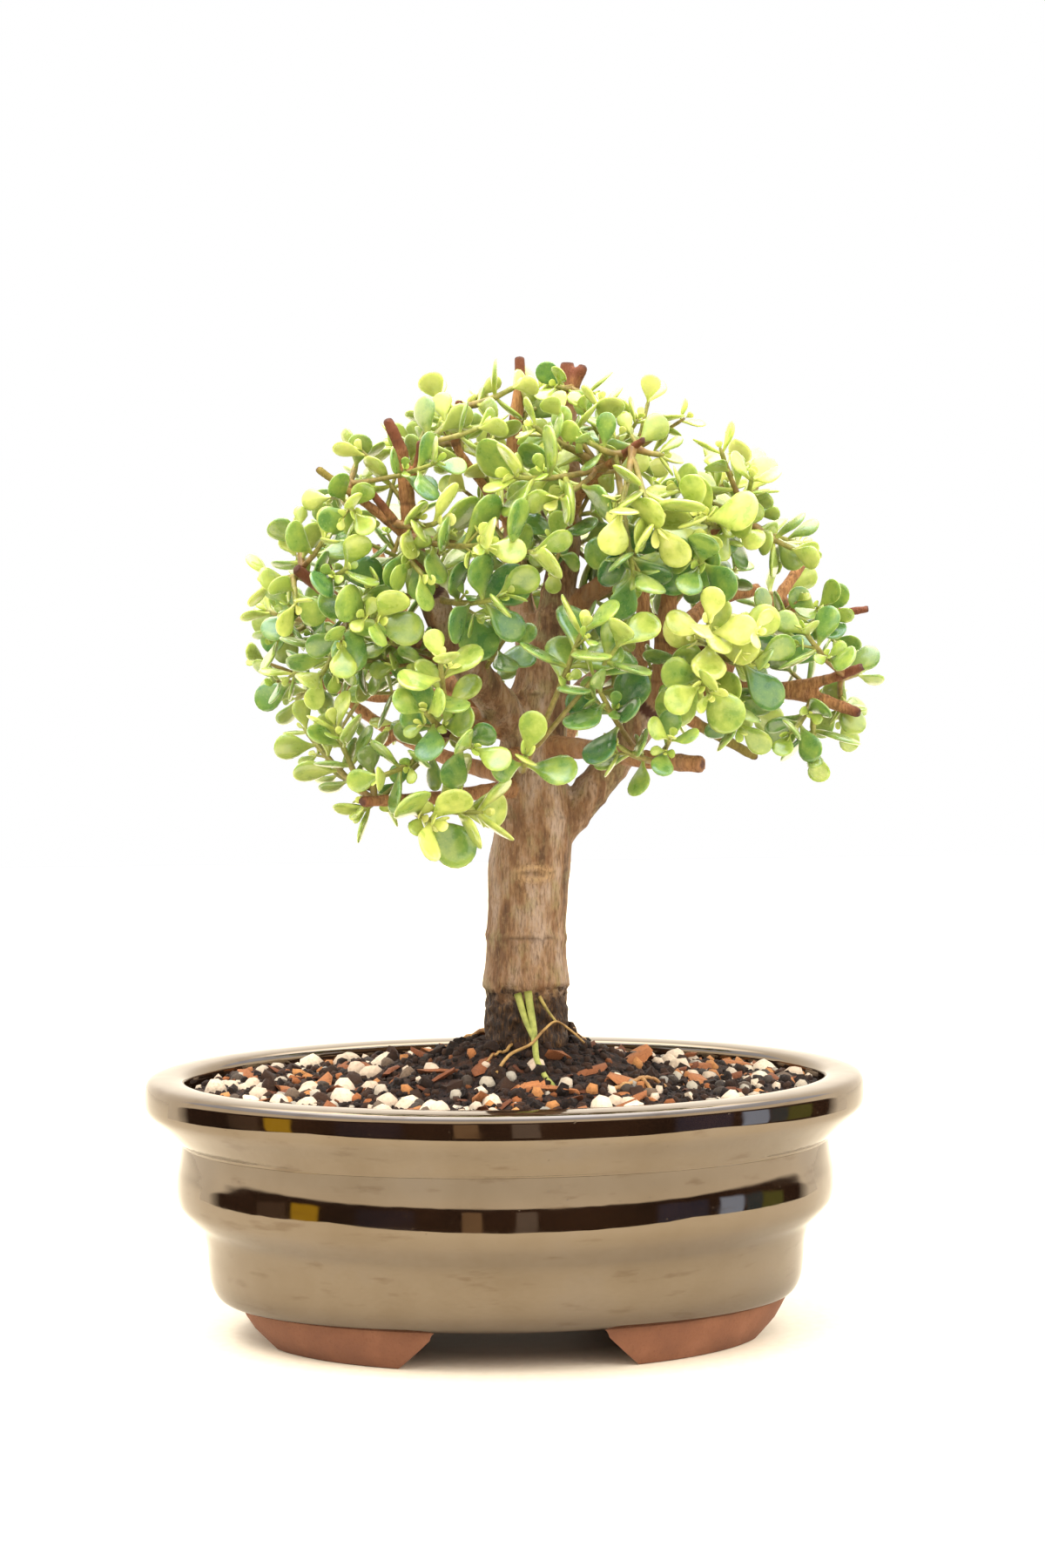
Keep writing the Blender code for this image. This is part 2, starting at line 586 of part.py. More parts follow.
def leaf_faces(base, first, rim):
    """Faces of a leaf on its four base corners: low left, low right, high right, high left."""
    low_left, low_right, high_right, high_left = base
    edge = list(range(first, first + rim))
    top, bottom = first + rim, first + rim + 1
    over = [high_left] + edge + [high_right]
    under = [low_left] + edge + [low_right]
    faces = [[low_left, high_left, edge[0]], [low_right, edge[-1], high_right]]
    for loop, centre in ((over, top), (under, bottom)):
        faces += [[loop[index], loop[(index + 1) % len(loop)], centre] for index in range(len(loop))]
    return faces


def blade_shape(base, points):
    """A closed shape of one leaf, for finding what it would cross."""
    rim = len(points) - 2
    return list(base) + points, leaf_faces([0, 1, 2, 3], 4, rim) + [[0, 1, 2, 3]]


def tree_of(shapes):
    """A search tree of many point and face lists."""
    points = []
    faces = []
    for shape_points, shape_faces in shapes:
        first = len(points)
        points.extend(shape_points)
        faces.extend([[index + first for index in face] for face in shape_faces])
    return BVHTree.FromPolygons(points, faces)


def rings_shape(rings, grow=0.0):
    """A closed tube through a twig's rings, a little wider than they are."""
    points = []
    for place, _, corners in rings:
        points.extend([corner + (corner - place).normalized() * grow for corner in corners])
    return points, loft_faces(len(rings), 4)


class Twig:
    """One twig of a spray: its rings, the leaves on it, and the ring side it grows from."""

    def __init__(self, path, first, radii, pairs, key, size, forked=False):
        stations, self.bearing = twig_stations(path[1][-1], pairs, first, forked)
        self.rings = twig_rings(path, stations, radii, key)
        self.key = key
        self.size = size
        self.leaves = {}
        self.forks = {}

    def quad(self, stretch, side):
        """The four corners of one side of one stretch: low left and right, high right and left."""
        low = self.rings[stretch][2]
        high = self.rings[stretch + 1][2]
        following = (side + 1) % 4
        return [low[side], low[following], high[following], high[side]]

    def outward(self, stretch, side):
        place, ahead, _ = self.rings[stretch]
        corners = self.quad(stretch, side)
        middle = sum(corners, Vector()) / 4 - place
        return (middle - ahead * middle.dot(ahead)).normalized()


def spray_twigs(number, start, bend, first):
    """The twigs of one spray: the first one from the wood, and its forks."""
    tips = SPRAYS[number]
    key = SEED + number * 8
    path = twig_path(start, Vector(tips[0][:3]), bend)
    main = Twig(path, first, TWIG_RADII, PAIRS_MAIN, key, tips[0][3], forked=True)
    twigs = [main]
    for branch, tip in enumerate(tips[1:], 1):
        end = Vector(tip[:3])
        place, ahead, _ = main.rings[1]
        wanted = end - place
        side = max(range(4), key=lambda corner: main.outward(0, corner).dot(wanted))
        if side in main.forks:
            continue
        origin = sum(main.quad(0, side), Vector()) / 4
        fork = Twig(twig_path(origin, end, (0, 0, -2)), 2.2, FORK_RADII, PAIRS_FORK, key + branch, tip[3])
        main.forks[side] = fork
        twigs.append(fork)
    return twigs


def grow_twigs(wood_tree):
    """Grows every spray's twigs, each clear of the wood and of the twigs before it."""
    spots = limb_spots()
    grown = []
    for number, tips in enumerate(SPRAYS):
        ends = [Vector(tip[:3]) for tip in tips]
        near = sorted(spots, key=lambda spot: (spot - ends[0]).length + 0.35 * (spot - ends[-1]).length)
        grown.append(choose_twigs(number, near[:STARTS_TRIED * 4:4], wood_tree, grown))
    return grown


def choose_twigs(number, starts, wood_tree, grown):
    """Tries starts and bends until a spray's twigs are clear of all that stands."""
    before = [tree_of(others) for _, others in grown if others]
    for start in starts:
        for bend in BENDS:
            _, ahead = place_on(twig_path(start, Vector(SPRAYS[number][0][:3]), bend), 0.0)
            depth = wood_tree.ray_cast(start, ahead)[3] or TWIG_RADII[0]
            for extra in (0.0, 0.3, 0.7, 1.2, 1.8):
                twigs = spray_twigs(number, start, bend, depth + ROOM + extra)
                if len(twigs[0].rings) < 4:
                    continue
                wide = tree_of([rings_shape(twig.rings, 0.2) for twig in twigs])
                if wide.overlap(wood_tree) or any(wide.overlap(tree) for tree in before):
                    continue
                return twigs, [rings_shape(twig.rings, ROOM) for twig in twigs]
    return None, None


def grow_leaves(grown, wood_tree):
    """Sets the leaves of every spray clear of the wood and of every other spray."""
    foliage = [list(shapes) if shapes else [] for _, shapes in grown]
    for number, (twigs, _) in enumerate(grown):
        others = tree_of([shape for index, part in enumerate(foliage) if index != number for shape in part])
        blades = []
        for twig in twigs or []:
            for stretch, pair in twig.bearing.items():
                for side in (pair % 2, pair % 2 + 2):
                    place_leaf(twig, stretch, pair, side, [others, wood_tree], blades, foliage[number])


def place_leaf(twig, stretch, pair, side, trees, blades, kept):
    """Finds the first try at one leaf that crosses nothing, and keeps it."""
    _, ahead, _ = twig.rings[stretch]
    base = twig.quad(stretch, side)
    place = sum(base, Vector()) / 4
    for attempt in range(LEAF_TRIES):
        frame = leaf_frame(place, ahead, twig.outward(stretch, side), twig.size, twig.key, pair, side, attempt)
        wide = tree_of([blade_shape(base, leaf_blade(*frame, grow=ROOM))])
        if any(wide.overlap(tree) for tree in trees):
            continue
        points = leaf_blade(*frame)
        blade = (points, leaf_faces([0, len(points) - 3, len(points) - 3, 0], 0, len(points) - 2))
        if blades and tree_of([blade]).overlap(tree_of(blades)):
            continue
        blades.append(blade)
        kept.append(blade_shape(base, points))
        twig.leaves[stretch, side] = points
        return


def write_twig(twig, points, faces, base=None):
    """Adds one twig with its leaves and forks to a spray's points and faces."""
    rings = []
    for _, _, corners in twig.rings:
        rings.append(list(range(len(points), len(points) + 4)))
        points.extend(corners)
    if base:
        rings.insert(0, base)
    else:
        faces.append(rings[0])
    faces.append(rings[-1])
    shift = 1 if base else 0
    for stretch in range(len(rings) - 1):
        for side in range(4):
            following = (side + 1) % 4
            low, high = rings[stretch], rings[stretch + 1]
            quad = [low[side], low[following], high[following], high[side]]
            place = (stretch - shift, side)
            if place in twig.leaves:
                first = len(points)
                points.extend(twig.leaves[place])
                faces.extend(leaf_faces(quad, first, len(twig.leaves[place]) - 2))
            elif stretch == 0 and side in twig.forks:
                write_twig(twig.forks[side], points, faces, quad)
            else:
                faces.append(quad)


def make_sprays(wood_tree):
    grown = grow_twigs(wood_tree)
    grow_leaves(grown, wood_tree)
    sprays = []
    for number, (twigs, _) in enumerate(grown):
        if not twigs:
            continue
        points = []
        faces = []
        write_twig(twigs[0], points, faces)
        sprays.append(make_object(f"spray_{number + 1:02d}", points, faces))
    return sprays


def dress(made, finish, root, angle=40):
    """Gives a finished piece its material, its smooth shading and its parent."""
    made.data.materials.clear()
    made.data.materials.append(finish)
    made.data.shade_smooth()
    made.data.set_sharp_from_angle(angle=math.radians(angle))
    made.parent = root


def main():
    for old in list(bpy.data.objects):
        bpy.data.objects.remove(old)
    root = bpy.data.objects.new("bonsai", None)
    bpy.context.scene.collection.objects.link(root)
    root.location = (-BOX_CENTRE_X * MM, -BOX_CENTRE_Y * MM, 0)
    dress(make_pot(), make_finish("brown_black_glaze", "#3A2A22", 0.12), root)
    for number, side in enumerate((-1, 1)):
        screen = make_screen(f"drain_screen_{number + 1}", side * DRAIN_X)
        dress(screen, make_finish("net_plastic", "#1E1E1E", 0.5), root)
    dress(make_soil(), make_finish("peat_and_pumice", "#2E211A", 0.9), root)
    wood = make_wood()
    wood_tree = mesh_tree(wood)
    dress(wood, make_finish("jade_bark", "#A07C5E", 0.75), root)
    leaf = make_finish("jade_leaf", "#86AC4A", 0.35)
    for spray in make_sprays(wood_tree):
        dress(spray, leaf, root)


main()
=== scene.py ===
"""The finish of a dwarf jade bonsai: glaze, soil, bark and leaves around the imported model.

Sizes are millimetres from the middle of the pot at floor level; to_world puts them in the frame.
"""

import math
import random

import bmesh
import bpy
import numpy as np
from mathutils import Matrix, Vector, kdtree, noise
from mathutils.bvhtree import BVHTree


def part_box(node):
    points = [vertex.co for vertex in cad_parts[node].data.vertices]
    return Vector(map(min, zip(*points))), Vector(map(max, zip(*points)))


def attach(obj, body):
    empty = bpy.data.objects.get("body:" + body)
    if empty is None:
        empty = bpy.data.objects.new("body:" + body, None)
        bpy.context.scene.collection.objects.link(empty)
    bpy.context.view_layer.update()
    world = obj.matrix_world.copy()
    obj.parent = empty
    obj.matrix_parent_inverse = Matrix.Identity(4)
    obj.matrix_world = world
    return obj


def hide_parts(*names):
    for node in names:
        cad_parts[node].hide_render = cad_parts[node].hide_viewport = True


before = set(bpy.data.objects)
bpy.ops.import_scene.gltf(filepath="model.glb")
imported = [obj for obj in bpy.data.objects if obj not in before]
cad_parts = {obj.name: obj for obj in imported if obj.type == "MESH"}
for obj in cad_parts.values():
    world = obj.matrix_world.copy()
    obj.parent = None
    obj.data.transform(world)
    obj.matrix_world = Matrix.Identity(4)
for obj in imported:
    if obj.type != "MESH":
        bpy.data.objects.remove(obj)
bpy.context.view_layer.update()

MM = 0.001
SEED = 7
POT_LOW, POT_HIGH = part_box("pot")
POT_MIDDLE = Vector(((POT_LOW.x + POT_HIGH.x) / 2, (POT_LOW.y + POT_HIGH.y) / 2, POT_LOW.z))

# The photograph's camera: an 82 mm lens on a 36 mm tall frame, one metre away.
CAMERA_LENS = 81.87
CAMERA_FRAME = 36.0
CAMERA_AWAY = 1000.0
CAMERA_ASIDE = 5.35
CAMERA_HEIGHT = 220.94
CAMERA_TURN = -4.0
CAMERA_DOWN = 3.78
CAMERA_ROLL = -0.37

# The pot's outlines at its ends and at its front, upwards, and inside, downwards, as (inset, height).
POT_HALF_X = 101.6
POT_HALF_Y = 77.0
POT_SIDES = 160
POT_END = [(22.6, 11.3), (21.2, 10.9), (19.3, 12.5), (17.8, 16.2), (17.2, 21.5), (16.8, 26.6), (15.2, 31.4),
           (11.7, 35.0), (9.5, 37.8), (8.8, 40.6), (8.7, 43.4), (8.9, 46.4), (9.4, 49.2), (9.8, 51.8),
           (10.1, 53.8), (10.25, 54.6), (10.3, 54.95), (10.1, 55.3), (9.6, 56.0), (5.5, 59.9), (1.5, 63.4),
           (0.3, 65.2), (0.05, 67.1), (0.1, 69.2), (0.3, 70.9), (0.7, 72.1), (1.6, 72.95), (3.4, 73.4)]
POT_FRONT = [(22.6, 11.3), (20.6, 11.0), (17.6, 12.6), (14.4, 16.2), (12.6, 20.8), (11.4, 25.6),
             (9.7, 30.0), (7.2, 33.4), (4.9, 36.4), (3.7, 38.9), (3.4, 41.2), (3.5, 44.2), (3.8, 47.2),
             (4.5, 50.4), (5.6, 54.0), (6.0, 55.3), (6.08, 55.65), (5.95, 56.0), (5.6, 56.6), (3.8, 60.0),
             (1.2, 63.7), (0.35, 65.1), (0.05, 66.9), (0.1, 69.1), (0.22, 70.9), (0.55, 72.1), (1.4, 72.95),
             (3.2, 73.4)]
POT_INSIDE = [(6.4, 73.55), (9.2, 73.3), (10.6, 72.8), (11.3, 72.0), (11.6, 71.0), (11.7, 69.4),
              (12.0, 66.0), (14.6, 60.0), (16.6, 52.0), (16.6, 40.0), (24.0, 20.0), (27.0, 17.0)]
POT_FLOOR = 17.0
POT_UNDERSIDE = 11.0
# The feet stand a little to the right of the bowl. The arches' half widths are at the top and at the bottom.
FOOT_BOTTOM_X = 72.2
FOOT_MIDDLE_X = 1.4
FOOT_BOTTOM_Y = 54.05
FOOT_TOP_INSET = 21.9
FOOT_WIDTH = 14.0
FRONT_ARCH = (23.0, 32.75)
END_ARCH = (14.0, 22.0)
ARCH_ROUNDING = 2.4
ARCH_STEPS = 6
WORN_EDGE = 0.7
DRAIN_X = 38.0
DRAIN_RADIUS = 6.0
DRAIN_SIDES = 48

# The soil: its height, how far its crumbs have settled at the pot's wall, and its mound round the trunk.
SOIL_EDGE = 70.2
SOIL_SETTLED = 1.3
SOIL_MOUND = 13.5
MOUND_CENTRE_X = 4.0
MOUND_REACH_X = 34.0
MOUND_REACH_Y = 30.0
SOIL_INSET = 13.0
SOIL_RINGS = 44
SOIL_SIDES = 200
SOIL_WALLS = [(26.0, POT_FLOOR + 0.3), (17.2, 40.0), (17.2, 57.0), (13.6, 68.0)]
LUMP_SIZE = 9.0
CRUMB_SIZE = 2.2
CRUMB_HEIGHT = 0.55
PATCH_RINGS = 26
PATCH_SIDES = 96

# The trunk, on the solid's route.
TRUNK = [(6, 0, 58), (6, 0, 84), (6, 0, 92), (6, 0, 106), (7, 0, 130), (8.5, 0, 143), (8, 0, 152),
         (8, 0, 162), (10, 0, 175), (12, 0, 190)]
TRUNK_RADII = [9.5, 12.3, 11.9, 11.5, 11.1, 11.6, 10.6, 9.6, 8.6, 7.4]

# Limbs and cut ends, on the solid's routes: name, radius at the start and at the end, route.
LIMBS = [
    ("leader", 5.9, 2.0,
     [(11, 0, 184), (15, 0, 204), (18, 0, 223), (19, 2, 243), (19, 4, 259), (19, 5, 273)]),
    ("leader_fork", 1.9, 1.5, [(19, 4, 262), (21.5, 3, 268), (23.5, 2, 272)]),
    ("leader_left", 4.1, 1.5,
     [(10, 0, 184), (6, 6, 204), (4, 8, 223), (4, 10, 248), (6, 10, 267), (6, 10, 275)]),
    ("left_limb", 5.6, 4.0,
     [(5, -2, 170), (-3, -9, 179), (-12, -20, 191), (-18, -24, 201), (-21, -28, 209)]),
    ("left_up", 3.1, 1.5,
     [(-18, -23, 201), (-25, -28, 219), (-28, -30, 238), (-29, -32, 247), (-33, -34, 256)]),
    ("arm_high", 2.9, 1.6,
     [(-10, -17, 188), (-18, -16, 191), (-28, -18, 195), (-45, -24, 206), (-58, -30, 216)]),
    ("arm_far", 2.2, 1.5, [(-24, -16, 193), (-33, -8, 193), (-40, -2, 194), (-53, 8, 203)]),
    ("arm_back", 2.8, 1.5, [(2, 3, 176), (-10, 8, 181), (-21, 18, 187), (-34, 28, 187), (-46, 34, 189)]),
    ("arm_mid", 2.4, 1.3, [(4, 2, 172), (-12, 9, 177), (-22, 14, 180), (-36, 20, 179), (-55, 24, 184)]),
    ("arm_low", 2.9, 1.5, [(4, 0, 170), (-12, 1, 175), (-20, 4, 176), (-27, 6, 171), (-36, 8, 165)]),
    ("front_cut", 2.8, 2.1, [(3, -2, 170), (-5, -8, 171), (-13, -22, 171), (-18, -38, 172)]),
    ("low_left", 2.4, 1.5, [(5, -3, 154), (-4, -14, 154), (-19, -24, 153), (-41, -38, 153)]),
    ("front_shoot", 1.9, 1.1, [(5, -4, 163), (0, -16, 164), (2, -28, 162), (3, -38, 161)]),
    ("right_main", 6.4, 4.9,
     [(10, 0, 136), (15, 0, 141), (21, 1, 148), (30, 2, 159), (37, 0, 169), (41, -2, 175)]),
    ("right_up", 3.6, 1.6, [(40, -1, 171), (44, -6, 183), (45, -8, 198), (48, -6, 216), (54, -4, 230)]),
    ("right_back_up", 2.8, 1.5, [(33, 2, 163), (38, 12, 179), (41, 18, 191), (42, 22, 206), (44, 24, 230)]),
    ("right_arm", 3.3, 1.5, [(40, -1, 173), (52, -6, 178), (63, -12, 182), (82, -20, 180), (97, -26, 175)]),
    ("right_fork", 1.9, 1.3, [(72, -16, 181), (87, -23, 184), (97, -30, 188)]),
    ("right_olive", 2.1, 1.3, [(40, 2, 173), (49, 5, 174), (59, 7, 169), (73, 8, 161)]),
    ("right_front", 3.0, 2.3, [(9, -4, 166), (25, -16, 165), (37, -26, 163), (52, -36, 162)]),
    ("right_slant", 2.4, 1.4, [(58, -9, 180), (66, 0, 192), (75, 8, 201), (91, 18, 221)]),
    ("right_red", 1.5, 1.1, [(80, 11, 205), (91, 10, 202), (105, 8, 203)]),
    ("rise_right", 3.3, 1.6, [(15, 1, 197), (23, -4, 207), (32, -10, 213), (45, -14, 218), (69, -22, 232)]),
    ("broken", 2.4, 1.8, [(45, -6, 190), (53, 5, 200), (62, 12, 206), (75, 17, 209)]),
    ("red_cut", 1.6, 1.3, [(45, -7, 193), (50, -18, 194), (57, -26, 192)]),
    ("back_left", 3.8, 1.5, [(8, 2, 168), (-6, 16, 176), (-18, 32, 190), (-28, 42, 206), (-34, 46, 222)]),
    ("back_middle", 3.6, 1.5, [(11, 2, 180), (10, 22, 196), (8, 38, 212), (4, 46, 230)]),
    ("back_right", 3.6, 1.5, [(12, 3, 172), (26, 18, 182), (44, 34, 196), (58, 42, 212)]),
    ("back_low", 2.8, 1.5, [(9, 4, 150), (14, 26, 158), (22, 44, 166), (30, 54, 178)]),
    ("back_low_left", 2.8, 1.5, [(6, 4, 156), (-12, 24, 160), (-30, 40, 168), (-44, 44, 178)]),
    ("cut_520", 1.5, 1.2, [(4, 8, 226), (-6, 0, 240), (-13, -6, 250), (-12, -8, 262)]),
    ("cut_490", 1.4, 1.1, [(-28, -30, 236), (-25, -34, 243), (-24, -37, 250)]),
    ("cut_370", 1.5, 1.1, [(-27, -29, 224), (-37, -29, 232), (-45, -28, 238), (-52, -28, 243)]),
    ("cut_425", 1.5, 1.1, [(-26, -29, 219), (-31, -36, 228), (-39, -40, 238)]),
    ("cut_755", 1.5, 1.2, [(19, 1, 232), (28, -8, 242), (36, -14, 248), (41, -16, 256)]),
    ("cut_735", 1.5, 1.1, [(18, 0, 226), (22, -18, 238), (28, -30, 244), (36, -40, 250)]),
]

# Leafy sprays, as in the solids: each line is a twig and its forks, by each tip's x, y, z and leaf length.
SPRAYS = [
    [(15, -6, 266, 9), (26, -2, 264, 9)],
    [(4, -8, 266, 9), (-6, -2, 264, 8)],
    [(-16, -22, 256, 10), (-7, -34, 254, 9)],
    [(-40, -18, 248, 9), (-20, -44, 244, 10)],
    [(-48, -20, 235, 10), (-42, -44, 231, 10)],
    [(-57, -18, 228, 9), (-50, -36, 224, 10)],
    [(-66, -24, 213, 10), (-58, -38, 206, 10)],
    [(-60, -8, 206, 10), (-64, -2, 196, 10)],
    [(-44, -42, 216, 13)],
    [(-36, -46, 202, 13), (-46, -42, 196, 11)],
    [(-52, -30, 186, 10), (-60, -18, 186, 10)],
    [(-56, -16, 172, 11), (-48, -34, 174, 11)],
    [(-38, -30, 166, 10), (-48, -20, 160, 10)],
    [(-36, -42, 160, 11), (-40, -30, 150, 11)],
    [(-22, -44, 148, 16), (-8, -40, 150, 15)],
    [(-24, -50, 178, 12)],
    [(-11, -50, 168, 12)],
    [(-20, -52, 192, 11)],
    [(3, -48, 166, 14)],
    [(-4, -50, 208, 14)],
    [(-8, -52, 222, 14), (6, -52, 220, 14)],
    [(0, -46, 240, 15), (12, -46, 234, 14)],
    [(-20, -50, 228, 13)],
    [(-24, -48, 214, 12)],
    [(18, -54, 200, 14), (28, -54, 196, 14)],
    [(22, -52, 184, 13)],
    [(28, -44, 168, 10), (42, -48, 170, 10)],
    [(52, -50, 201, 12), (62, -46, 200, 11)],
    [(50, -48, 184, 14)],
    [(28, -52, 230, 14), (38, -50, 226, 14)],
    [(32, -50, 213, 13)],
    [(50, -44, 230, 14), (62, -34, 226, 11)],
    [(50, -46, 216, 14)],
    [(67, -40, 190, 14), (62, -36, 172, 12)],
    [(76, -34, 170, 11), (84, -28, 164, 11)],
    [(98, -18, 186, 9), (94, -10, 172, 10)],
    [(80, -36, 198, 11), (88, -30, 192, 10)],
    [(88, -8, 204, 10), (94, 2, 194, 9)],
    [(80, -22, 220, 10), (84, -4, 222, 10)],
    [(66, -34, 240, 10), (58, -28, 248, 10)],
    [(42, -34, 246, 9), (34, -24, 252, 9)],
    [(20, -40, 250, 9), (30, -36, 242, 9)],
    [(6, -36, 254, 9), (14, -30, 258, 9)],
    [(-16, 14, 256, 10), (-30, 4, 250, 10)],
    [(18, 24, 258, 10), (34, 12, 252, 10)],
    [(-50, 8, 228, 10), (-42, 22, 236, 10)],
    [(-66, 12, 204, 10), (-60, 28, 200, 11)],
    [(-58, 32, 178, 11), (-44, 44, 186, 12)],
    [(-36, 54, 206, 13), (-24, 46, 232, 12)],
    [(-14, 56, 220, 13), (2, 56, 236, 12)],
    [(8, 54, 208, 13), (20, 48, 226, 12)],
    [(46, 30, 240, 10), (60, 18, 238, 11)],
    [(54, 52, 206, 13), (66, 42, 222, 12)],
    [(84, 26, 208, 11), (76, 34, 196, 12)],
    [(30, 58, 184, 13), (12, 56, 172, 12), (-28, 52, 170, 12)],
]
# How the solids' twigs and leaves grow, with the same values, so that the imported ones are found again.
PAIR_SPACING = 5.4
PAIRS_MAIN = 4
PAIRS_FORK = 3
TWIG_RADII = (1.05, 0.7)
FORK_RADII = (0.85, 0.65)
FORK_LEAD = 2.2
FORK_BEND = (0, 0, -2)
PAIR_HEIGHT = 1.2
PATH_STEPS = 12
STARTS_TRIED = 6
TIP_OPENING = (36, 50)
PAIR_OPENING = (56, 76)
BENDS = [(0, 0, -3), (0, 4, -1), (0, -4, -1), (4, 0, 0), (-4, 0, 0), (0, 0, 5), (6, 6, 0), (-6, 6, 0)]
LEAF_TRIES = 7
LEAF_GROWTH = 1.15
LEAF_THICK = 0.15
ROOM = 0.35
STANDOFFS = (0.0, 0.3, 0.7, 1.2, 1.8)
# A point this close to a packed vertex is taken for it.
MATCH = 0.02

# The finer leaf: rings along it, points round it, and its outline.
LARGE_LEAF = (12, 14)
SMALL_LEAF = (8, 8)
SMALL_LEAF_LENGTH = 8.5
LEAF_SINK = -0.05
LEAF_WIDEST = 0.67
LEAF_NECK = 0.1
LEAF_REACH = 0.96
FINE_LEAF_WIDTH = 0.348
DOME_ABOVE = 0.42
DOME_BELOW = 0.62
GROOVE_DEPTH = 0.10
GROOVE_WIDTH = 0.16
FINE_TWIG_SIDES = 8
# Share of the leaf axils with a side shoot, from the tip of a twig backwards, and how the shoots grow.
SHOOT_SHARE = [0.5, 0.9, 0.9, 0.7]
SHOOT_LEAN = (28, 52)
SHOOT_REACH = (1.5, 5.0)
SHOOT_LEAF = (4.2, 8.0)
# How far young leaf pairs open, in degrees: on a side shoot, at its tip, and at the tip of a twig.
SHOOT_PAIR_OPENING = (44, 66)
SHOOT_TIP_OPENING = (16, 32)
YOUNG_OPENING = (16, 34)
# How much lighter a twig's outermost leaves are.
TIP_TONE = 0.2
# Sprays that are younger or older than the rest, by number.
SPRAY_TONES = {7: 0.2, 15: 0.1, 18: 0.25, 20: -0.1, 22: 0.2, 23: 0.25, 25: -0.1, 26: -0.15, 28: 0.3,
               29: 0.05, 30: 0.25, 31: -0.2, 32: 0.15, 33: -0.2, 34: -0.1, 35: -0.15, 40: 0.3, 1: 0.1,
               2: 0.15, 43: 0.2}

# The free room in the crown, and the short sprigs that fill it, some of them started above FILL_TOP.
CROWN_CELL = 7.0
CELL_SHIFTS = [(x, y, z) for x in (-1, 0, 1) for y in (-1, 0, 1) for z in (-1, 0, 1)]
CROWN_MIDDLE = (6.0, 0.0, 195.0)
CROWN_HALF = (84.0, 58.0, 76.0)
FILL_FROM = 178.0
FILL_TOP = 212
FILL_TRIES = 2400
FILL_SPRIGS = 125
FILL_TOP_SHARE = 0.45
FILL_DEPTH = 9
FILL_REACH = (9, 19)
FILL_LEAF = (7.0, 11.5)
FILL_RADII = (0.7, 0.5)
FILL_PAIRS = 4
FILL_LEAF_TRIES = 3
FILL_KEY = 5000
FILL_CLEARANCE = 1.6
LIGHT_ABOVE = 235

# The finer wood: ring scars on the trunk as (height, depth), and the oval scar at its front.
WOOD_VOXEL = 0.8
TRUNK_SIDES = 28
LIMB_SIDES = 18
RING_WIDTH = 0.9
TRUNK_RINGS = [(112, 0.6), (122, 0.15), (145.5, 0.5), (158, 0.3), (167, 0.6), (180, 0.6)]
SCAR_PLACE = (7.5, -11.0, 130.5)
SCAR_HALF = (5.6, 2.4)
SOILED_BELOW = 95.0
BARK_EDGE = 98.0
LEAF_SCAR_GAP = 6.0
# Limbs that start thicker than this have their old leaf pairs further apart, and a smaller collar.
THICK_LIMB = 3.5
THICK_LIMB_FORM = (7.5, 0.04)
THIN_LIMB_FORM = (5.5, 0.22)
# This limb starts thinner than in the solid and without a collar, which keeps the fork above it open.
NARROW_LIMB = "right_main"
NARROW_START = 5.1
POINTS_AT_ONCE = 2000
# Length of the green or red young end of a limb.
FRESH_REACH = {"leader": 9, "leader_fork": 8, "leader_left": 8, "left_up": 12, "cut_520": 14, "cut_490": 9,
               "cut_370": 14, "cut_425": 12, "cut_755": 8, "cut_735": 12, "right_red": 16, "red_cut": 12,
               "right_olive": 22, "right_fork": 12, "arm_high": 10, "right_slant": 10, "rise_right": 12,
               "low_left": 5, "right_arm": 6, "arm_mid": 8}
OLIVE_LIMBS = ("right_olive", "cut_370", "right_front")
# Share of its radius that a root loses towards its end.
ROOT_TAPER = 0.45
ROOT_SIDES = 10
# Fine roots: radius, route from above, heights over the soil, and how green they are.
FINE_ROOTS = [
    (0.5, [(2, -9), (-3, -17), (-9, -22)], [2.0, 0.9, 0.3], 0.1),
    (0.7, [(-3, 6), (-12, 12), (-20, 15)], [2.0, 0.8, 0.2], 0.0),
    (0.7, [(16, 5), (24, 10), (31, 12)], [2.0, 0.8, 0.2], 0.0),
    (0.75, [(27, -34), (31, -31), (36, -26), (41, -24), (43, -25)], [0.5, 1.2, 1.8, 1.4, 0.6], 0.0),
    (0.6, [(36, -26), (38, -32), (36, -38)], [1.8, 0.9, 0.2], 0.0),
]
# Roots that hang from the trunk's foot: radius, route and how green they are.
AERIAL_ROOTS = [
    (1.15, [(5.7, -11.6, 97.6), (6.2, -12.8, 93.4), (6.8, -16.4, 88.2), (6.9, -20.2, 84.3),
            (7.2, -25.2, 79.9), (9.2, -29.4, 76.0), (10.9, -31.8, 74.2), (12.0, -34.6, 71.6)], 1.0),
    (1.1, [(2.8, -11.4, 97.0), (4.0, -12.9, 92.5), (5.2, -15.8, 88.7), (6.7, -19.4, 85.1)], 1.0),
    (0.5, [(-4.4, -28.0, 77.2), (-0.4, -24.0, 81.6), (5.6, -21.9, 84.2), (9.7, -18.2, 87.7),
           (13.4, -14.4, 89.4), (17.8, -14.4, 86.5), (21.0, -16.4, 83.6)], 0.15),
    (0.55, [(8.9, -11.6, 96.2), (10.9, -12.6, 92.6), (13.4, -14.2, 89.2)], 0.5),
]

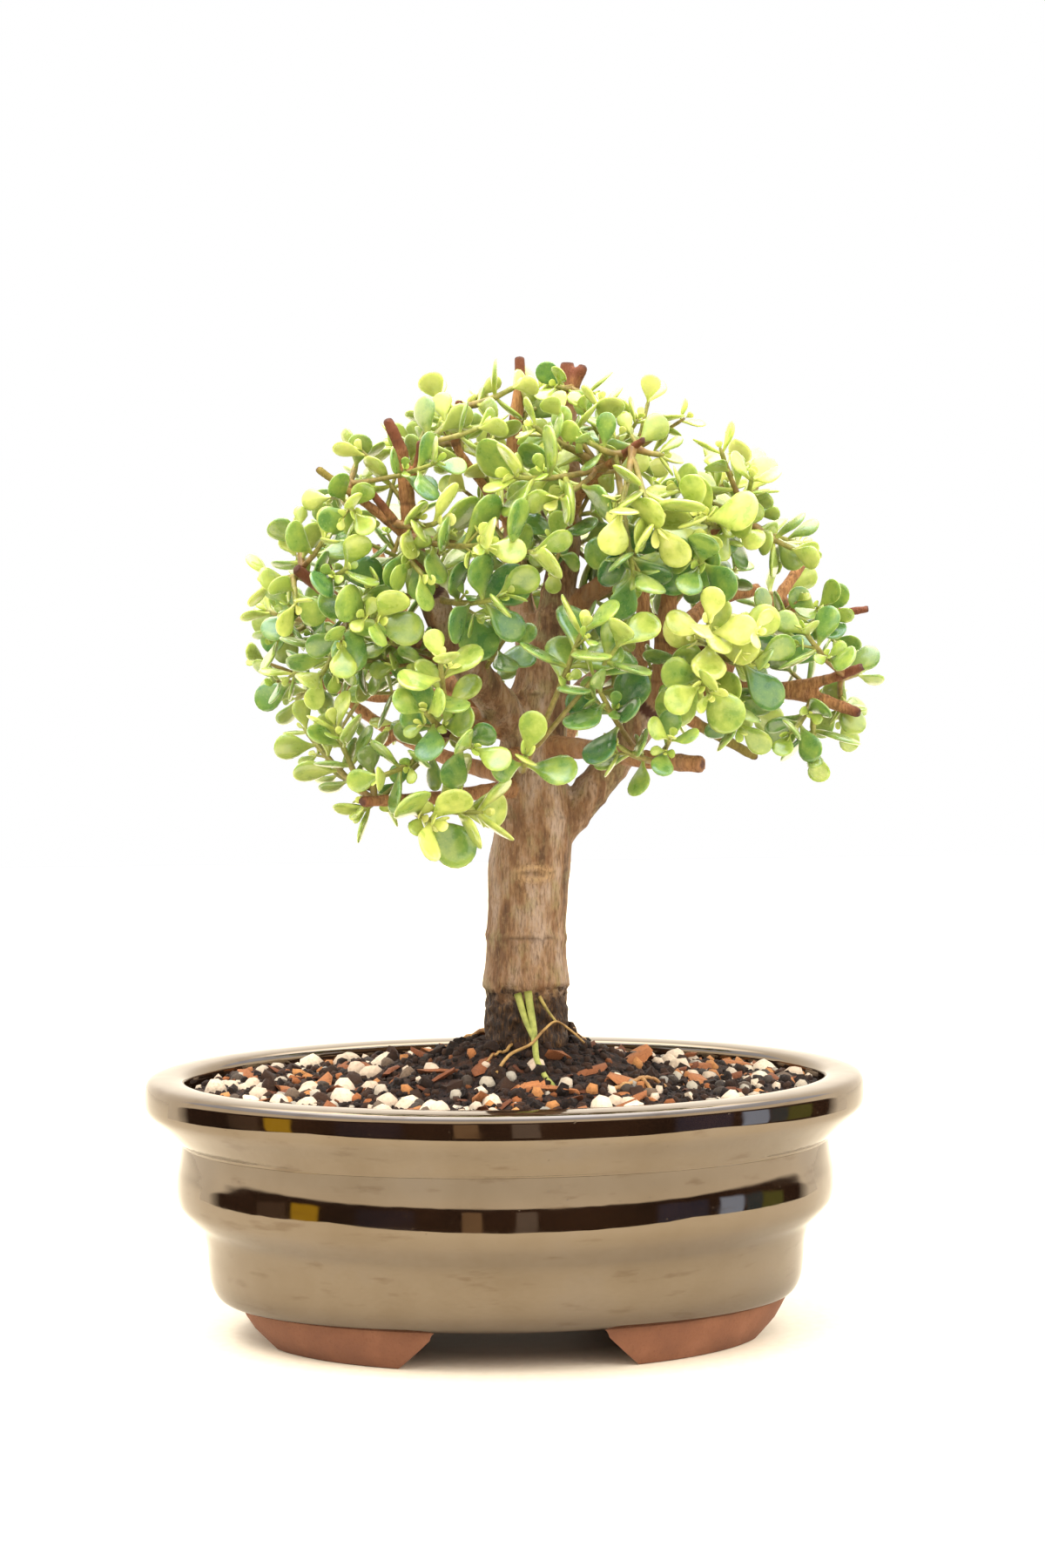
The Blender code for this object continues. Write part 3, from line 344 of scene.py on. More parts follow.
# The grains: radius in millimetres, stretch, steps of roundness and roughness.
ROUND_GRAIN = (1.0, (1.15, 0.95, 0.82), 2, 0.1)
SHARP_GRAIN = (1.0, (1.15, 0.95, 0.8), 1, 0.16)
ROUGH_CLOD = (1.0, (1.1, 1.0, 0.65), 2, 0.34)
CHIP = (1.0, (2.0, 0.8, 0.3), 1, 0.2)
SCATTER_INPUTS = [("Geometry", "Geometry"), ("Grain", "Object"), ("Material", "Material"),
                  ("Grains per square metre", "Float"), ("Apart", "Float"), ("Smallest", "Float"),
                  ("Largest", "Float"), ("Lean", "Float"), ("Share in the middle", "Float"),
                  ("Share between drifts", "Float"), ("Seed", "Int")]
# Size of the drifts that the grains lie in, with barer soil between them.
DRIFT_SIZE = 13.0
# Grain materials: name, tones, size and colour of the pores, roughness and depth of the pores.
GRAIN_LOOKS = {
    "pumice": ("white_pumice", [(0.0, "#7E8084"), (0.25, "#A8A5A0"), (0.6, "#C2B4AA"), (1.0, "#D8CFC6")],
               0.9, "#8A7D72", 0.85, 0.5),
    "peat": ("peat_crumb", [(0.0, "#090504"), (0.6, "#180F0A"), (1.0, "#33221A")],
             0.8, "#3E2C1E", 0.95, 0.5),
    "lava": ("dark_lava", [(0.0, "#14100E"), (0.7, "#3A322D"), (1.0, "#6A5B50")],
             0.7, "#0F0C0A", 0.8, 0.5),
    "clay": ("baked_clay_grit", [(0.0, "#57331F"), (0.5, "#8C5634"), (1.0, "#B58456")],
             0.8, "#5E3C28", 0.85, 0.4),
    "bark": ("pine_bark_chip", [(0.0, "#3A2014"), (0.6, "#6E402A"), (1.0, "#A8714C")],
             0.6, "#2E1A10", 0.85, 0.5)}
# Grains on the soil: name, look, seed, the ring of soil they lie on, shape, and how they are strewn:
# number to the square metre, least distance, smallest, largest, lean, and their shares in the middle and
# between the drifts.
GRAINS = [
    ("large_pumice", "pumice", 21, (0.34, 0.96), ROUND_GRAIN, (38000, 4.8, 1.6, 4.0, 3.0, 0.3, 0.35)),
    ("small_pumice", "pumice", 22, (0.3, 0.985), SHARP_GRAIN, (26000, 3.0, 0.8, 2.0, 3.0, 0.3, 0.3)),
    ("lava_grains", "lava", 23, (0.26, 0.97), ROUND_GRAIN, (9000, 5.0, 1.2, 2.8, 3.0, 0.7, 0.2)),
    ("clay_grit", "clay", 24, (0.26, 0.98), SHARP_GRAIN, (26000, 3.2, 0.9, 2.4, 3.0, 0.5, 0.25)),
    ("bark_chips", "bark", 25, (0.2, 0.95), CHIP, (22000, 4.8, 1.3, 4.4, 0.6, 0.6, 0.5)),
    ("peat_crumbs", "peat", 26, (0.14, 0.985), SHARP_GRAIN, (200000, 1.4, 0.5, 1.7, 3.0, 1.0, 1.0)),
    ("peat_clods", "peat", 27, (0.16, 0.95), ROUGH_CLOD, (16000, 5.0, 1.4, 3.3, 3.0, 0.8, 0.4))]

# The stage: the paper's outline, and half sizes of the painted shadow under the pot.
PAPER_OUTLINE = [(-330, -265), (330, -265), (330, 150), (1500, 900), (1500, 1500), (-1500, 1500),
                 (-1500, 900), (-330, 150)]
SHADOW_HALF_X = 66.0
SHADOW_HALF_Y = 50.0

# The light: strength of the tent on matt and on mirroring skins, and the dark room behind its front opening.
# The room's half width is in radians, and heights are those of a direction one long.
TENT_SOFT = 1.9
TENT_MIRRORED = 2.6
ROOM_HALF = 2.05
ROOM_LOW = -0.12
ROOM_HIGH = 0.17
# The mirrored tent brightens by this factor between these two heights, as it does near its lamps.
LAMP_GLARE = 3.2
LAMP_HEIGHTS = (0.72, 0.9)
# Patches in the room: middle and half width in radians, colour. They fade out between two heights at their
# foot, and between two heights counted from the lintel at their head.
PATCH_FOOT = (-0.22, -0.2)
PATCH_HEAD = (-0.08, -0.05)
ROOM_PATCHES = [(-1.11, 0.08, "#C9A21E"), (-1.36, 0.1, "#4A3E34"), (1.22, 0.08, "#9FB4D8"),
                (-0.18, 0.04, "#8C7358"), (0.08, 0.05, "#6E6660"), (-0.62, 0.14, "#1E2334"),
                (0.9, 0.14, "#26324C"), (1.4, 0.06, "#22404A"), (1.58, 0.1, "#56602A")]
LAMP_AIM = (0, 0, 150)
LAMPS = [("sky_lamp", (-250, -250, 950), 0.9, 14.0), ("side_lamp", (700, -500, 500), 0.6, 5.0)]


def smooth_route(points, steps):
    """Reads a smooth curve through the given points, with some steps for each span."""
    knots = [Vector(point) for point in points]
    ends = [2 * knots[0] - knots[1]] + knots + [2 * knots[-1] - knots[-2]]
    route = []
    for index in range(len(knots) - 1):
        before, start, end, after = ends[index:index + 4]
        for step in range(steps):
            t = step / steps
            route.append(0.5 * (2 * start + (end - before) * t
                                + (2 * before - 5 * start + 4 * end - after) * t * t
                                + (3 * start - before - 3 * end + after) * t ** 3))
    route.append(knots[-1])
    return route


def blend(values, share):
    """Reads a list of numbers at a share of its length."""
    place = share * (len(values) - 1)
    index = min(int(place), len(values) - 2)
    return values[index] + (values[index + 1] - values[index]) * (place - index)


def clamp(value):
    """Keeps a number between zero and one."""
    return min(1.0, max(0.0, value))


def bell(offset, width):
    """One at no offset, and soon near zero past the width."""
    return math.exp(-(offset / width) ** 2)


def distances_along(points):
    """The distance of each point of a route from its first, along the route."""
    distances = [0.0]
    for before, after in zip(points, points[1:]):
        distances.append(distances[-1] + (after - before).length)
    return distances


def limb_spots():
    """Points close together along every limb, which the twigs can grow from."""
    spots = []
    for _, _, _, knots in LIMBS:
        route = smooth_route(knots, 6)
        spots.extend(route[4:-1])
    return spots


def twig_path(start, tip, bend):
    """A twig's curve, bent aside at its middle, read as close points with their distances."""
    middle = (start + tip) / 2 + Vector(bend) * min(1, (tip - start).length / 24)
    points = []
    for step in range(PATH_STEPS + 1):
        t = step / PATH_STEPS
        points.append(start * (1 - t) ** 2 + middle * 2 * t * (1 - t) + tip * t * t)
    return points, distances_along(points)


def place_on(path, distance):
    """Point and direction of a path at a distance from its start."""
    points, distances = path
    index = 1
    while index < len(points) - 1 and distances[index] < distance:
        index += 1
    ahead = (points[index] - points[index - 1]).normalized()
    return points[index] + ahead * (distance - distances[index]), ahead


def twig_stations(length, pairs, first, forked):
    """Distances of a twig's rings, and which stretches between rings bear a pair of leaves."""
    stations = []
    for pair in range(pairs):
        middle = length - PAIR_HEIGHT - pair * PAIR_SPACING
        if middle < max(first + 2.0, 0.3 * length):
            break
        stations = [middle - PAIR_HEIGHT / 2, middle + PAIR_HEIGHT / 2] + stations
    bearing = {index: (len(stations) // 2 - 1 - index // 2) for index in range(0, len(stations), 2)}
    lead = [first, (first + (stations[0] if stations else length)) / 2] if forked else [first]
    return lead + stations, {index + len(lead): pair for index, pair in bearing.items()}


def twig_rings(path, stations, radii, key):
    """Four-cornered rings of a twig, turned alike along it, as (place, ahead, corners)."""
    side = place_on(path, 0.0)[1].orthogonal().normalized()
    side = Matrix.Rotation(key * 0.7, 3, place_on(path, 0.0)[1]) @ side
    rings = []
    length = path[1][-1]
    for distance in stations:
        place, ahead = place_on(path, distance)
        side = (side - ahead * side.dot(ahead)).normalized()
        across = ahead.cross(side)
        radius = blend(radii, distance / length)
        corners = []
        for corner in range(4):
            angle = math.tau * (corner + 0.5) / 4
            corners.append(place + (side * math.cos(angle) + across * math.sin(angle)) * radius)
        rings.append((place, ahead, corners))
    return rings


def leaf_frame(place, ahead, outward, size, key, pair, side, attempt):
    """Base, length direction, face direction and length of one leaf of a pair."""
    draw = random.Random(key * 256 + pair * 32 + side * 16 + attempt)
    outward = Matrix.Rotation(draw.uniform(-0.2, 0.2) * (1 + attempt), 3, ahead) @ outward
    closed, opened = TIP_OPENING if pair == 0 else PAIR_OPENING
    open_angle = math.radians(draw.uniform(closed, opened) - 5 * attempt)
    along = (ahead * math.cos(open_angle) + outward * math.sin(open_angle)).normalized()
    face = (ahead * math.sin(open_angle) - outward * math.cos(open_angle)).normalized()
    face = (Matrix.Rotation(draw.uniform(-0.35, 0.35), 3, along) @ face).normalized()
    length = LEAF_GROWTH * size * draw.uniform(0.86, 1.12) * (0.82 if pair == 0 else 1.0)
    length *= 1 - 0.05 * attempt
    return place, along, face, length


class Twig:
    """One twig of a spray: its rings, the leaves on it, and the ring side it grows from."""

    def __init__(self, path, first, radii, pairs, key, size, forked=False):
        stations, self.bearing = twig_stations(path[1][-1], pairs, first, forked)
        self.rings = twig_rings(path, stations, radii, key)
        self.key = key
        self.size = size
        self.forks = {}

    def quad(self, stretch, side):
        """The four corners of one side of one stretch: low left and right, high right and left."""
        low = self.rings[stretch][2]
        high = self.rings[stretch + 1][2]
        following = (side + 1) % 4
        return [low[side], low[following], high[following], high[side]]

    def outward(self, stretch, side):
        place, ahead, _ = self.rings[stretch]
        corners = self.quad(stretch, side)
        middle = sum(corners, Vector()) / 4 - place
        return (middle - ahead * middle.dot(ahead)).normalized()


def spray_twigs(number, start, bend, first):
    """The twigs of one spray: the first one from the wood, and its forks."""
    tips = SPRAYS[number]
    key = SEED + number * 8
    path = twig_path(start, Vector(tips[0][:3]), bend)
    main = Twig(path, first, TWIG_RADII, PAIRS_MAIN, key, tips[0][3], forked=True)
    twigs = [main]
    for branch, tip in enumerate(tips[1:], 1):
        end = Vector(tip[:3])
        place = main.rings[1][0]
        wanted = end - place
        side = max(range(4), key=lambda corner: main.outward(0, corner).dot(wanted))
        if side in main.forks:
            continue
        origin = sum(main.quad(0, side), Vector()) / 4
        path = twig_path(origin, end, FORK_BEND)
        fork = Twig(path, FORK_LEAD, FORK_RADII, PAIRS_FORK, key + branch, tip[3])
        main.forks[side] = fork
        twigs.append(fork)
    return twigs


def to_world(point):
    return Vector(point) * MM + POT_MIDDLE


def to_plan(place):
    """The frame's metres back to millimetres from the middle of the pot."""
    return (Vector(place) - POT_MIDDLE) / MM


def linear(hex_colour):
    """Turns an sRGB hex colour into linear red, green, blue and alpha."""
    values = []
    for start in (1, 3, 5):
        share = int(hex_colour[start:start + 2], 16) / 255
        values.append(share / 12.92 if share <= 0.04045 else ((share + 0.055) / 1.055) ** 2.4)
    return (*values, 1.0)


def add(tree, kind, inputs=None, **settings):
    """Adds a node: settings are its own values, inputs are numbers, colours or other sockets."""
    node = tree.nodes.new(kind)
    for name, value in settings.items():
        setattr(node, name, value)
    for key, value in (inputs or {}).items():
        if isinstance(value, bpy.types.NodeSocket):
            tree.links.new(value, node.inputs[key])
        else:
            node.inputs[key].default_value = value
    return node


def ramp(tree, factor, stops):
    """A colour ramp from a factor, with stops as (place, hex colour)."""
    node = add(tree, "ShaderNodeValToRGB", {"Fac": factor})
    elements = node.color_ramp.elements
    while len(elements) < len(stops):
        elements.new(0.5)
    for element, (place, colour) in zip(elements, stops):
        element.position = place
        element.color = linear(colour)
    return node.outputs["Color"]


def new_material(name, **uniform):
    """A material with a Principled shader whose uniform values sit on its own sockets."""
    made = bpy.data.materials.new(name)
    made.use_nodes = True
    tree = made.node_tree
    shader = tree.nodes["Principled BSDF"]
    for key, value in uniform.items():
        shader.inputs[key.replace("_", " ")].default_value = value
    return made, tree, shader


def object_place(tree, scale=(1, 1, 1)):
    """Object coordinates in millimetres, stretched by a scale for each direction."""
    place = add(tree, "ShaderNodeTexCoord").outputs["Object"]
    size = tuple(value / MM for value in scale)
    return add(tree, "ShaderNodeMapping", {"Vector": place, "Scale": size}).outputs["Vector"]


def noise_field(tree, place, millimetres, detail=4.0, rough=0.55):
    """A noise whose lumps are about the given size."""
    return add(tree, "ShaderNodeTexNoise", {
        "Vector": place, "Scale": 1.0 / millimetres, "Detail": detail, "Roughness": rough}).outputs["Fac"]


def value_of(tree, name):
    return add(tree, "ShaderNodeAttribute", attribute_name=name).outputs["Fac"]


def mix_colour(tree, factor, first, second, blend_type="MIX"):
    node = add(tree, "ShaderNodeMix", data_type="RGBA", blend_type=blend_type)
    for socket, value in ((0, factor), (6, first), (7, second)):
        if isinstance(value, bpy.types.NodeSocket):
            tree.links.new(value, node.inputs[socket])
        else:
            node.inputs[socket].default_value = linear(value) if isinstance(value, str) else value
    return node.outputs[2]


def spread(tree, value, low, high, out_low=0.0, out_high=1.0):
    return add(tree, "ShaderNodeMapRange", {
        "Value": value, "From Min": low, "From Max": high,
        "To Min": out_low, "To Max": out_high}).outputs["Result"]


def paint(tree, shader, value, socket="Base Color"):
    tree.links.new(value, shader.inputs[socket])


def calculate(tree, operation, first, second):
    return add(tree, "ShaderNodeMath", {0: first, 1: second}, operation=operation).outputs["Value"]


def raise_bump(tree, shader, height, millimetres, strength=1.0):
    bump = add(tree, "ShaderNodeBump", {
        "Height": height, "Strength": strength, "Distance": millimetres * MM})
    tree.links.new(bump.outputs["Normal"], shader.inputs["Normal"])


def glaze_material():
    """Iron-black lustre glaze: near black in depth, under a warm metallic skin that mirrors like glass."""
    made, tree, shader = new_material("iron_black_lustre_glaze", IOR=2.4)
    place = object_place(tree)
    cloud = noise_field(tree, place, 24.0, 5.0)
    streak = noise_field(tree, object_place(tree, (0.35, 0.35, 1.6)), 5.0, 5.0)
    scuff = spread(tree, streak, 0.58, 0.7)
    paint(tree, shader, ramp(tree, cloud, [(0.3, "#120B08"), (0.7, "#20140D")]))
    skin = ramp(tree, cloud, [(0.3, "#E4CDAF"), (0.55, "#EEDABF"), (0.75, "#ECDCC8")])
    scuffed = mix_colour(tree, calculate(tree, "MULTIPLY", scuff, 0.35), skin, "#A07C56")
    paint(tree, shader, scuffed, "Specular Tint")
    paint(tree, shader, spread(tree, streak, 0.4, 0.75, 0.035, 0.10), "Roughness")
    ripple = noise_field(tree, place, 18.0, 2.0)
    pits = spread(tree, noise_field(tree, place, 1.1, 2.0), 0.74, 0.8, 0.0, -0.2)
    raise_bump(tree, shader, calculate(tree, "ADD", ripple, pits), 0.3, 0.45)
    return made


def terracotta_material():
    """Unglazed red stoneware, fired matt, with a darker dusty grain."""
    made, tree, shader = new_material("unglazed_red_clay", Roughness=0.82)
    place = object_place(tree)
    cloud = noise_field(tree, place, 12.0, 6.0)
    grain = noise_field(tree, place, 0.8, 3.0)
    base = ramp(tree, cloud, [(0.3, "#664130"), (0.5, "#714935"), (0.72, "#7F5540")])
    paint(tree, shader, mix_colour(tree, spread(tree, grain, 0.55, 0.8, 0.0, 0.4), base, "#4C2D20"))
    raise_bump(tree, shader, grain, 0.25, 0.6)
    return made


def soil_material():
    """Damp milled peat: near black, with brown fibres of wood."""
    made, tree, shader = new_material("damp_peat", Roughness=0.92)
    place = object_place(tree)
    crumbs = noise_field(tree, place, 2.2, 8.0, 0.7)
    fine = noise_field(tree, place, 0.7, 4.0)
    paint(tree, shader, ramp(tree, crumbs, [
        (0.34, "#0E0907"), (0.5, "#24160F"), (0.62, "#3C2619"), (0.75, "#5B3D28")]))
    raise_bump(tree, shader, calculate(tree, "ADD", crumbs, fine), 1.2, 0.8)
    return made


def grain_material(name, stops, pore_size, pore_colour, roughness, bump):
    """A mineral or plant grain: each one has its own tone, and pores or dust of another colour."""
    made, tree, shader = new_material(name, Roughness=roughness)
    pores = noise_field(tree, object_place(tree), pore_size, 4.0)
    colour = ramp(tree, value_of(tree, "tone"), stops)
    paint(tree, shader, mix_colour(tree, spread(tree, pores, 0.5, 0.72, 0.0, 0.45), colour, pore_colour))
    raise_bump(tree, shader, pores, bump, 0.7)
    return made


def bark_material():
    """Thin jade bark: brown and grey-lilac patches, green bloom, flakes, tan specks and ring scars."""
    made, tree, shader = new_material("jade_bark", Roughness=0.7)
    place = object_place(tree)
    upright = object_place(tree, (1.0, 1.0, 0.2))
    patches = noise_field(tree, object_place(tree, (1.0, 1.0, 0.3)), 7.0, 5.0, 0.6)
    bloom = noise_field(tree, object_place(tree, (1.0, 1.0, 0.6)), 5.0, 4.0, 0.6)
    blotches = noise_field(tree, place, 3.2, 4.0, 0.6)
    flakes = noise_field(tree, upright, 0.7, 5.0, 0.65)
    specks = noise_field(tree, object_place(tree, (1.0, 1.0, 0.3)), 0.9, 3.0)
    colour = ramp(tree, patches, [
        (0.36, "#553D2B"), (0.46, "#7A5A40"), (0.53, "#927862"), (0.62, "#A39186")])
    colour = mix_colour(tree, spread(tree, blotches, 0.52, 0.7, 0.0, 0.6), colour, "#9A7E5E")
    colour = mix_colour(tree, spread(tree, bloom, 0.52, 0.66, 0.0, 0.5), colour, "#8C8660")
    colour = mix_colour(tree, spread(tree, flakes, 0.47, 0.68, 0.0, 0.75), colour, "#4A3423")
    colour = mix_colour(tree, spread(tree, specks, 0.58, 0.75, 0.0, 0.4), colour, "#B89C74")
    young = ramp(tree, flakes, [(0.35, "#7A5236"), (0.6, "#AA7E56")])
    colour = mix_colour(tree, value_of(tree, "slim"), colour, young)
    tint = mix_colour(tree, value_of(tree, "olive"), "#6B3D2A", "#7E7336")
    colour = mix_colour(tree, value_of(tree, "fresh"), colour, tint)
    callus = calculate(tree, "MULTIPLY", value_of(tree, "scar"), spread(tree, flakes, 0.4, 0.6, 0.9, 0.25))
    colour = mix_colour(tree, callus, colour, "#B09470")
    colour = mix_colour(tree, calculate(tree, "MULTIPLY", value_of(tree, "ring"), 0.75), colour, "#43301F")
    wet = spread(tree, blotches, 0.35, 0.65, -0.2, 0.4)
    soiled = spread(tree, calculate(tree, "ADD", value_of(tree, "soiled"), wet), 0.35, 0.75)
    earth = ramp(tree, flakes, [(0.4, "#1E140C"), (0.55, "#3E2A1A"), (0.7, "#6B5030")])
    colour = mix_colour(tree, soiled, colour, earth)
    colour = mix_colour(tree, value_of(tree, "cut"), colour, "#4A2A20")
    paint(tree, shader, colour)
    raise_bump(tree, shader, calculate(tree, "ADD", flakes, specks), 0.6, 0.8)
    return made


def root_material():
    """Thin live roots: tan skin, greener where they are fresh."""
    made, tree, shader = new_material("thin_root_skin", Roughness=0.6)
    skin = noise_field(tree, object_place(tree), 3.0, 4.0)
    tan = ramp(tree, skin, [(0.35, "#7A5636"), (0.65, "#B38E5E")])
    green = ramp(tree, skin, [(0.35, "#6F7B39"), (0.65, "#9EA65C")])
    paint(tree, shader, mix_colour(tree, value_of(tree, "fresh"), tan, green))
    raise_bump(tree, shader, skin, 0.3, 0.5)
    return made


def leaf_material():
    """Fleshy jade leaf: waxy skin, yellow-green when young, with a pale base and a pale thin rim that is
    partly a painted rim highlight.
    """
    made, tree, shader = new_material(
        "waxy_jade_leaf", IOR=1.45, Subsurface_Weight=0.22, Subsurface_Scale=0.0016,
        Coat_Weight=0.9, Coat_Roughness=0.16)
    shader.inputs["Subsurface Radius"].default_value = (0.7, 1.0, 0.15)
    place = object_place(tree)
    tone = value_of(tree, "tone")
    cloud = noise_field(tree, place, 4.0, 3.0)
    dots = noise_field(tree, place, 0.5, 2.0)
    body = ramp(tree, calculate(tree, "ADD", tone, spread(tree, cloud, 0.3, 0.7, -0.16, 0.16)),
                [(0.0, "#386A40"), (0.25, "#5F8842"), (0.55, "#97B053"),
                 (0.85, "#C8D678"), (1.0, "#DDE492")])
    body = mix_colour(tree, spread(tree, dots, 0.6, 0.75, 0.0, 0.18), body, "#C9CF8A")
    # A pale rim along the leaf's edge and tip: partly its thin pale margin, partly a painted rim highlight.
    rim = spread(tree, value_of(tree, "edge"), 0.88, 1.0, 0.0, 0.28)
    body = mix_colour(tree, rim, body, "#C4CC78")
    heart = spread(tree, value_of(tree, "reach"), 0.0, 0.3, 0.5, 0.0)
    body = mix_colour(tree, heart, body, "#B9BC62")
    under = mix_colour(tree, calculate(tree, "MULTIPLY", value_of(tree, "under"), 0.35), body, "#A5AE70")
    paint(tree, shader, under)
    paint(tree, shader, spread(tree, cloud, 0.3, 0.7, 0.24, 0.38), "Roughness")
    height = calculate(tree, "ADD", cloud, calculate(tree, "MULTIPLY", dots, 0.3))
    raise_bump(tree, shader, height, 0.25, 0.4)
    return made


def stem_material():
    """Young fleshy stem: olive to red-brown, with a fine bloom."""
    made, tree, shader = new_material("young_jade_stem", Roughness=0.5)
    skin = noise_field(tree, object_place(tree), 1.6, 3.0)
    red = ramp(tree, skin, [(0.35, "#643E2C"), (0.65, "#85593E")])
    green = ramp(tree, skin, [(0.35, "#76823F"), (0.65, "#98A257")])
    paint(tree, shader, mix_colour(tree, value_of(tree, "fresh"), red, green))
    raise_bump(tree, shader, skin, 0.2, 0.5)
    return made


def net_material():
    """Moulded polyethylene net, black and slightly greasy."""
    made, tree, shader = new_material("black_net_plastic")
    mottle = noise_field(tree, object_place(tree), 2.0, 3.0)
    paint(tree, shader, ramp(tree, mottle, [(0.3, "#101010"), (0.7, "#1D1C1B")]))
    paint(tree, shader, spread(tree, mottle, 0.3, 0.7, 0.35, 0.55), "Roughness")
    return made


def paper_material():
    """White seamless paper, with a painted brown shadow under the pot."""
    made, tree, shader = new_material("white_paper", Roughness=0.6)
    fibre = noise_field(tree, object_place(tree), 3.0, 4.0)
    white = ramp(tree, fibre, [(0.3, "#F4F2EC"), (0.7, "#FBFAF6")])
    plan = add(tree, "ShaderNodeSeparateXYZ", {0: object_place(tree)}).outputs
    across = calculate(tree, "POWER", calculate(tree, "DIVIDE", plan["X"], SHADOW_HALF_X), 2.0)
    deep = calculate(tree, "POWER", calculate(tree, "DIVIDE", plan["Y"], SHADOW_HALF_Y), 2.0)
    away = calculate(tree, "ADD", across, deep)
    # The paper turns brown towards its middle under the pot: a painted shadow.
    paint(tree, shader, mix_colour(tree, spread(tree, away, 0.4, 1.0, 0.75, 0.0), white, "#4A3220"))
    return made


def make_mesh(name, points, faces, materials, smooth=True, slots=None, values=None):
    """Makes a finished piece from points in the frame's metres, with named values for each point."""
    mesh = bpy.data.meshes.new(name)
    mesh.from_pydata([tuple(point) for point in points], [], faces)
    for material in materials:
        mesh.materials.append(material)
    if slots is not None:
        mesh.polygons.foreach_set("material_index", slots)
    mesh.polygons.foreach_set("use_smooth", [smooth] * len(mesh.polygons))
    for key, numbers in (values or {}).items():
        attribute = mesh.attributes.new(key, "FLOAT", "POINT")
        attribute.data.foreach_set("value", np.asarray(numbers, dtype=np.float32))
    mesh.update()
    made = bpy.data.objects.new(name, mesh)
    bpy.context.scene.collection.objects.link(made)
    return made


def face_outwards(made):
    work = bmesh.new()
    work.from_mesh(made.data)
    bmesh.ops.recalc_face_normals(work, faces=work.faces)
    work.to_mesh(made.data)
    work.free()


def settle(made, slot, *nodes):
    """Puts a finished piece on the part's body, in place of its nodes. Its slot is not used."""
    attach(made, "root")
    if nodes:
        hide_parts(*nodes)
    return made


def apply_modifiers(made):
    """Turns a piece's modifiers into a plain mesh."""
    shapes = bpy.context.evaluated_depsgraph_get()
    result = bpy.data.meshes.new_from_object(made.evaluated_get(shapes))
    made.modifiers.clear()
    made.data = result
    return made


def curve_through(points, steps):
    """Reads a smooth curve through points of any dimension."""
    return [tuple(point) for point in smooth_route([(*point, 0)[:3] for point in points], steps)]


def oval(half_x, half_y, height, sides):
    ring = []
    for corner in range(sides):
        angle = math.tau * corner / sides
        ring.append(Vector((half_x * math.cos(angle), half_y * math.sin(angle), height)))
    return ring


def loft_faces(rings, sides):
    """Faces of a closed loft between rings of points, with both ends capped."""
    faces = [list(range(sides))]
    for ring in range(rings - 1):
        for corner in range(sides):
            following = (corner + 1) % sides
            low = ring * sides
            high = low + sides
            faces.append([low + corner, low + following, high + following, high + corner])
    faces.append([(rings - 1) * sides + corner for corner in range(sides)])
    return faces


def make_loft(name, rings, materials):
    points = [to_world(point) for ring in rings for point in ring]
    made = make_mesh(name, points, loft_faces(len(rings), len(rings[0])), materials)
    face_outwards(made)
    return made


def cut_with(target, cutters):
    """Cuts closed shapes out of a target and removes them."""
    for cutter in cutters:
        step = target.modifiers.new("cut", "BOOLEAN")
        step.operation = "DIFFERENCE"
        step.object = cutter
        step.solver = "MANIFOLD"
    apply_modifiers(target)
    for cutter in cutters:
        bpy.data.objects.remove(cutter)


def arch_cutter(half_widths, reach, along_x, clay):
    """One arch between the feet: wider at the bottom, with its two upper corners rounded."""
    slope = (half_widths[1] - half_widths[0]) / POT_UNDERSIDE
    low, high = -1.0, POT_UNDERSIDE + 0.02
    half_low = half_widths[1] - slope * low
    outline = [(-half_low, low), (half_low, low)]
    for step in range(ARCH_STEPS + 1):
        angle = math.pi / 2 * step / ARCH_STEPS
        aside = half_widths[0] + ARCH_ROUNDING * 0.5 - ARCH_ROUNDING * (1 - math.cos(angle))
        outline.append((aside, high - ARCH_ROUNDING * (1 - math.sin(angle))))
    outline += [(-aside, height) for aside, height in reversed(outline[2:])]
    rings = []
    for depth in (-reach, reach):
        rings.append([Vector((depth, aside, height)) if along_x else Vector((aside, depth, height))
                      for aside, height in outline])
    return make_loft("arch", rings, [clay])


def drain_cutters(clay):
    cutters = []
    for side in (-1, 1):
        rings = [oval(DRAIN_RADIUS, DRAIN_RADIUS, height, DRAIN_SIDES)
                 for height in (POT_UNDERSIDE - 2, POT_FLOOR + 2)]
        shift_rings(rings, side * DRAIN_X)
        cutters.append(make_loft("drain", rings, [clay]))
    return cutters


def shift_rings(rings, aside):
    for ring in rings:
        for point in ring:
            point.x += aside


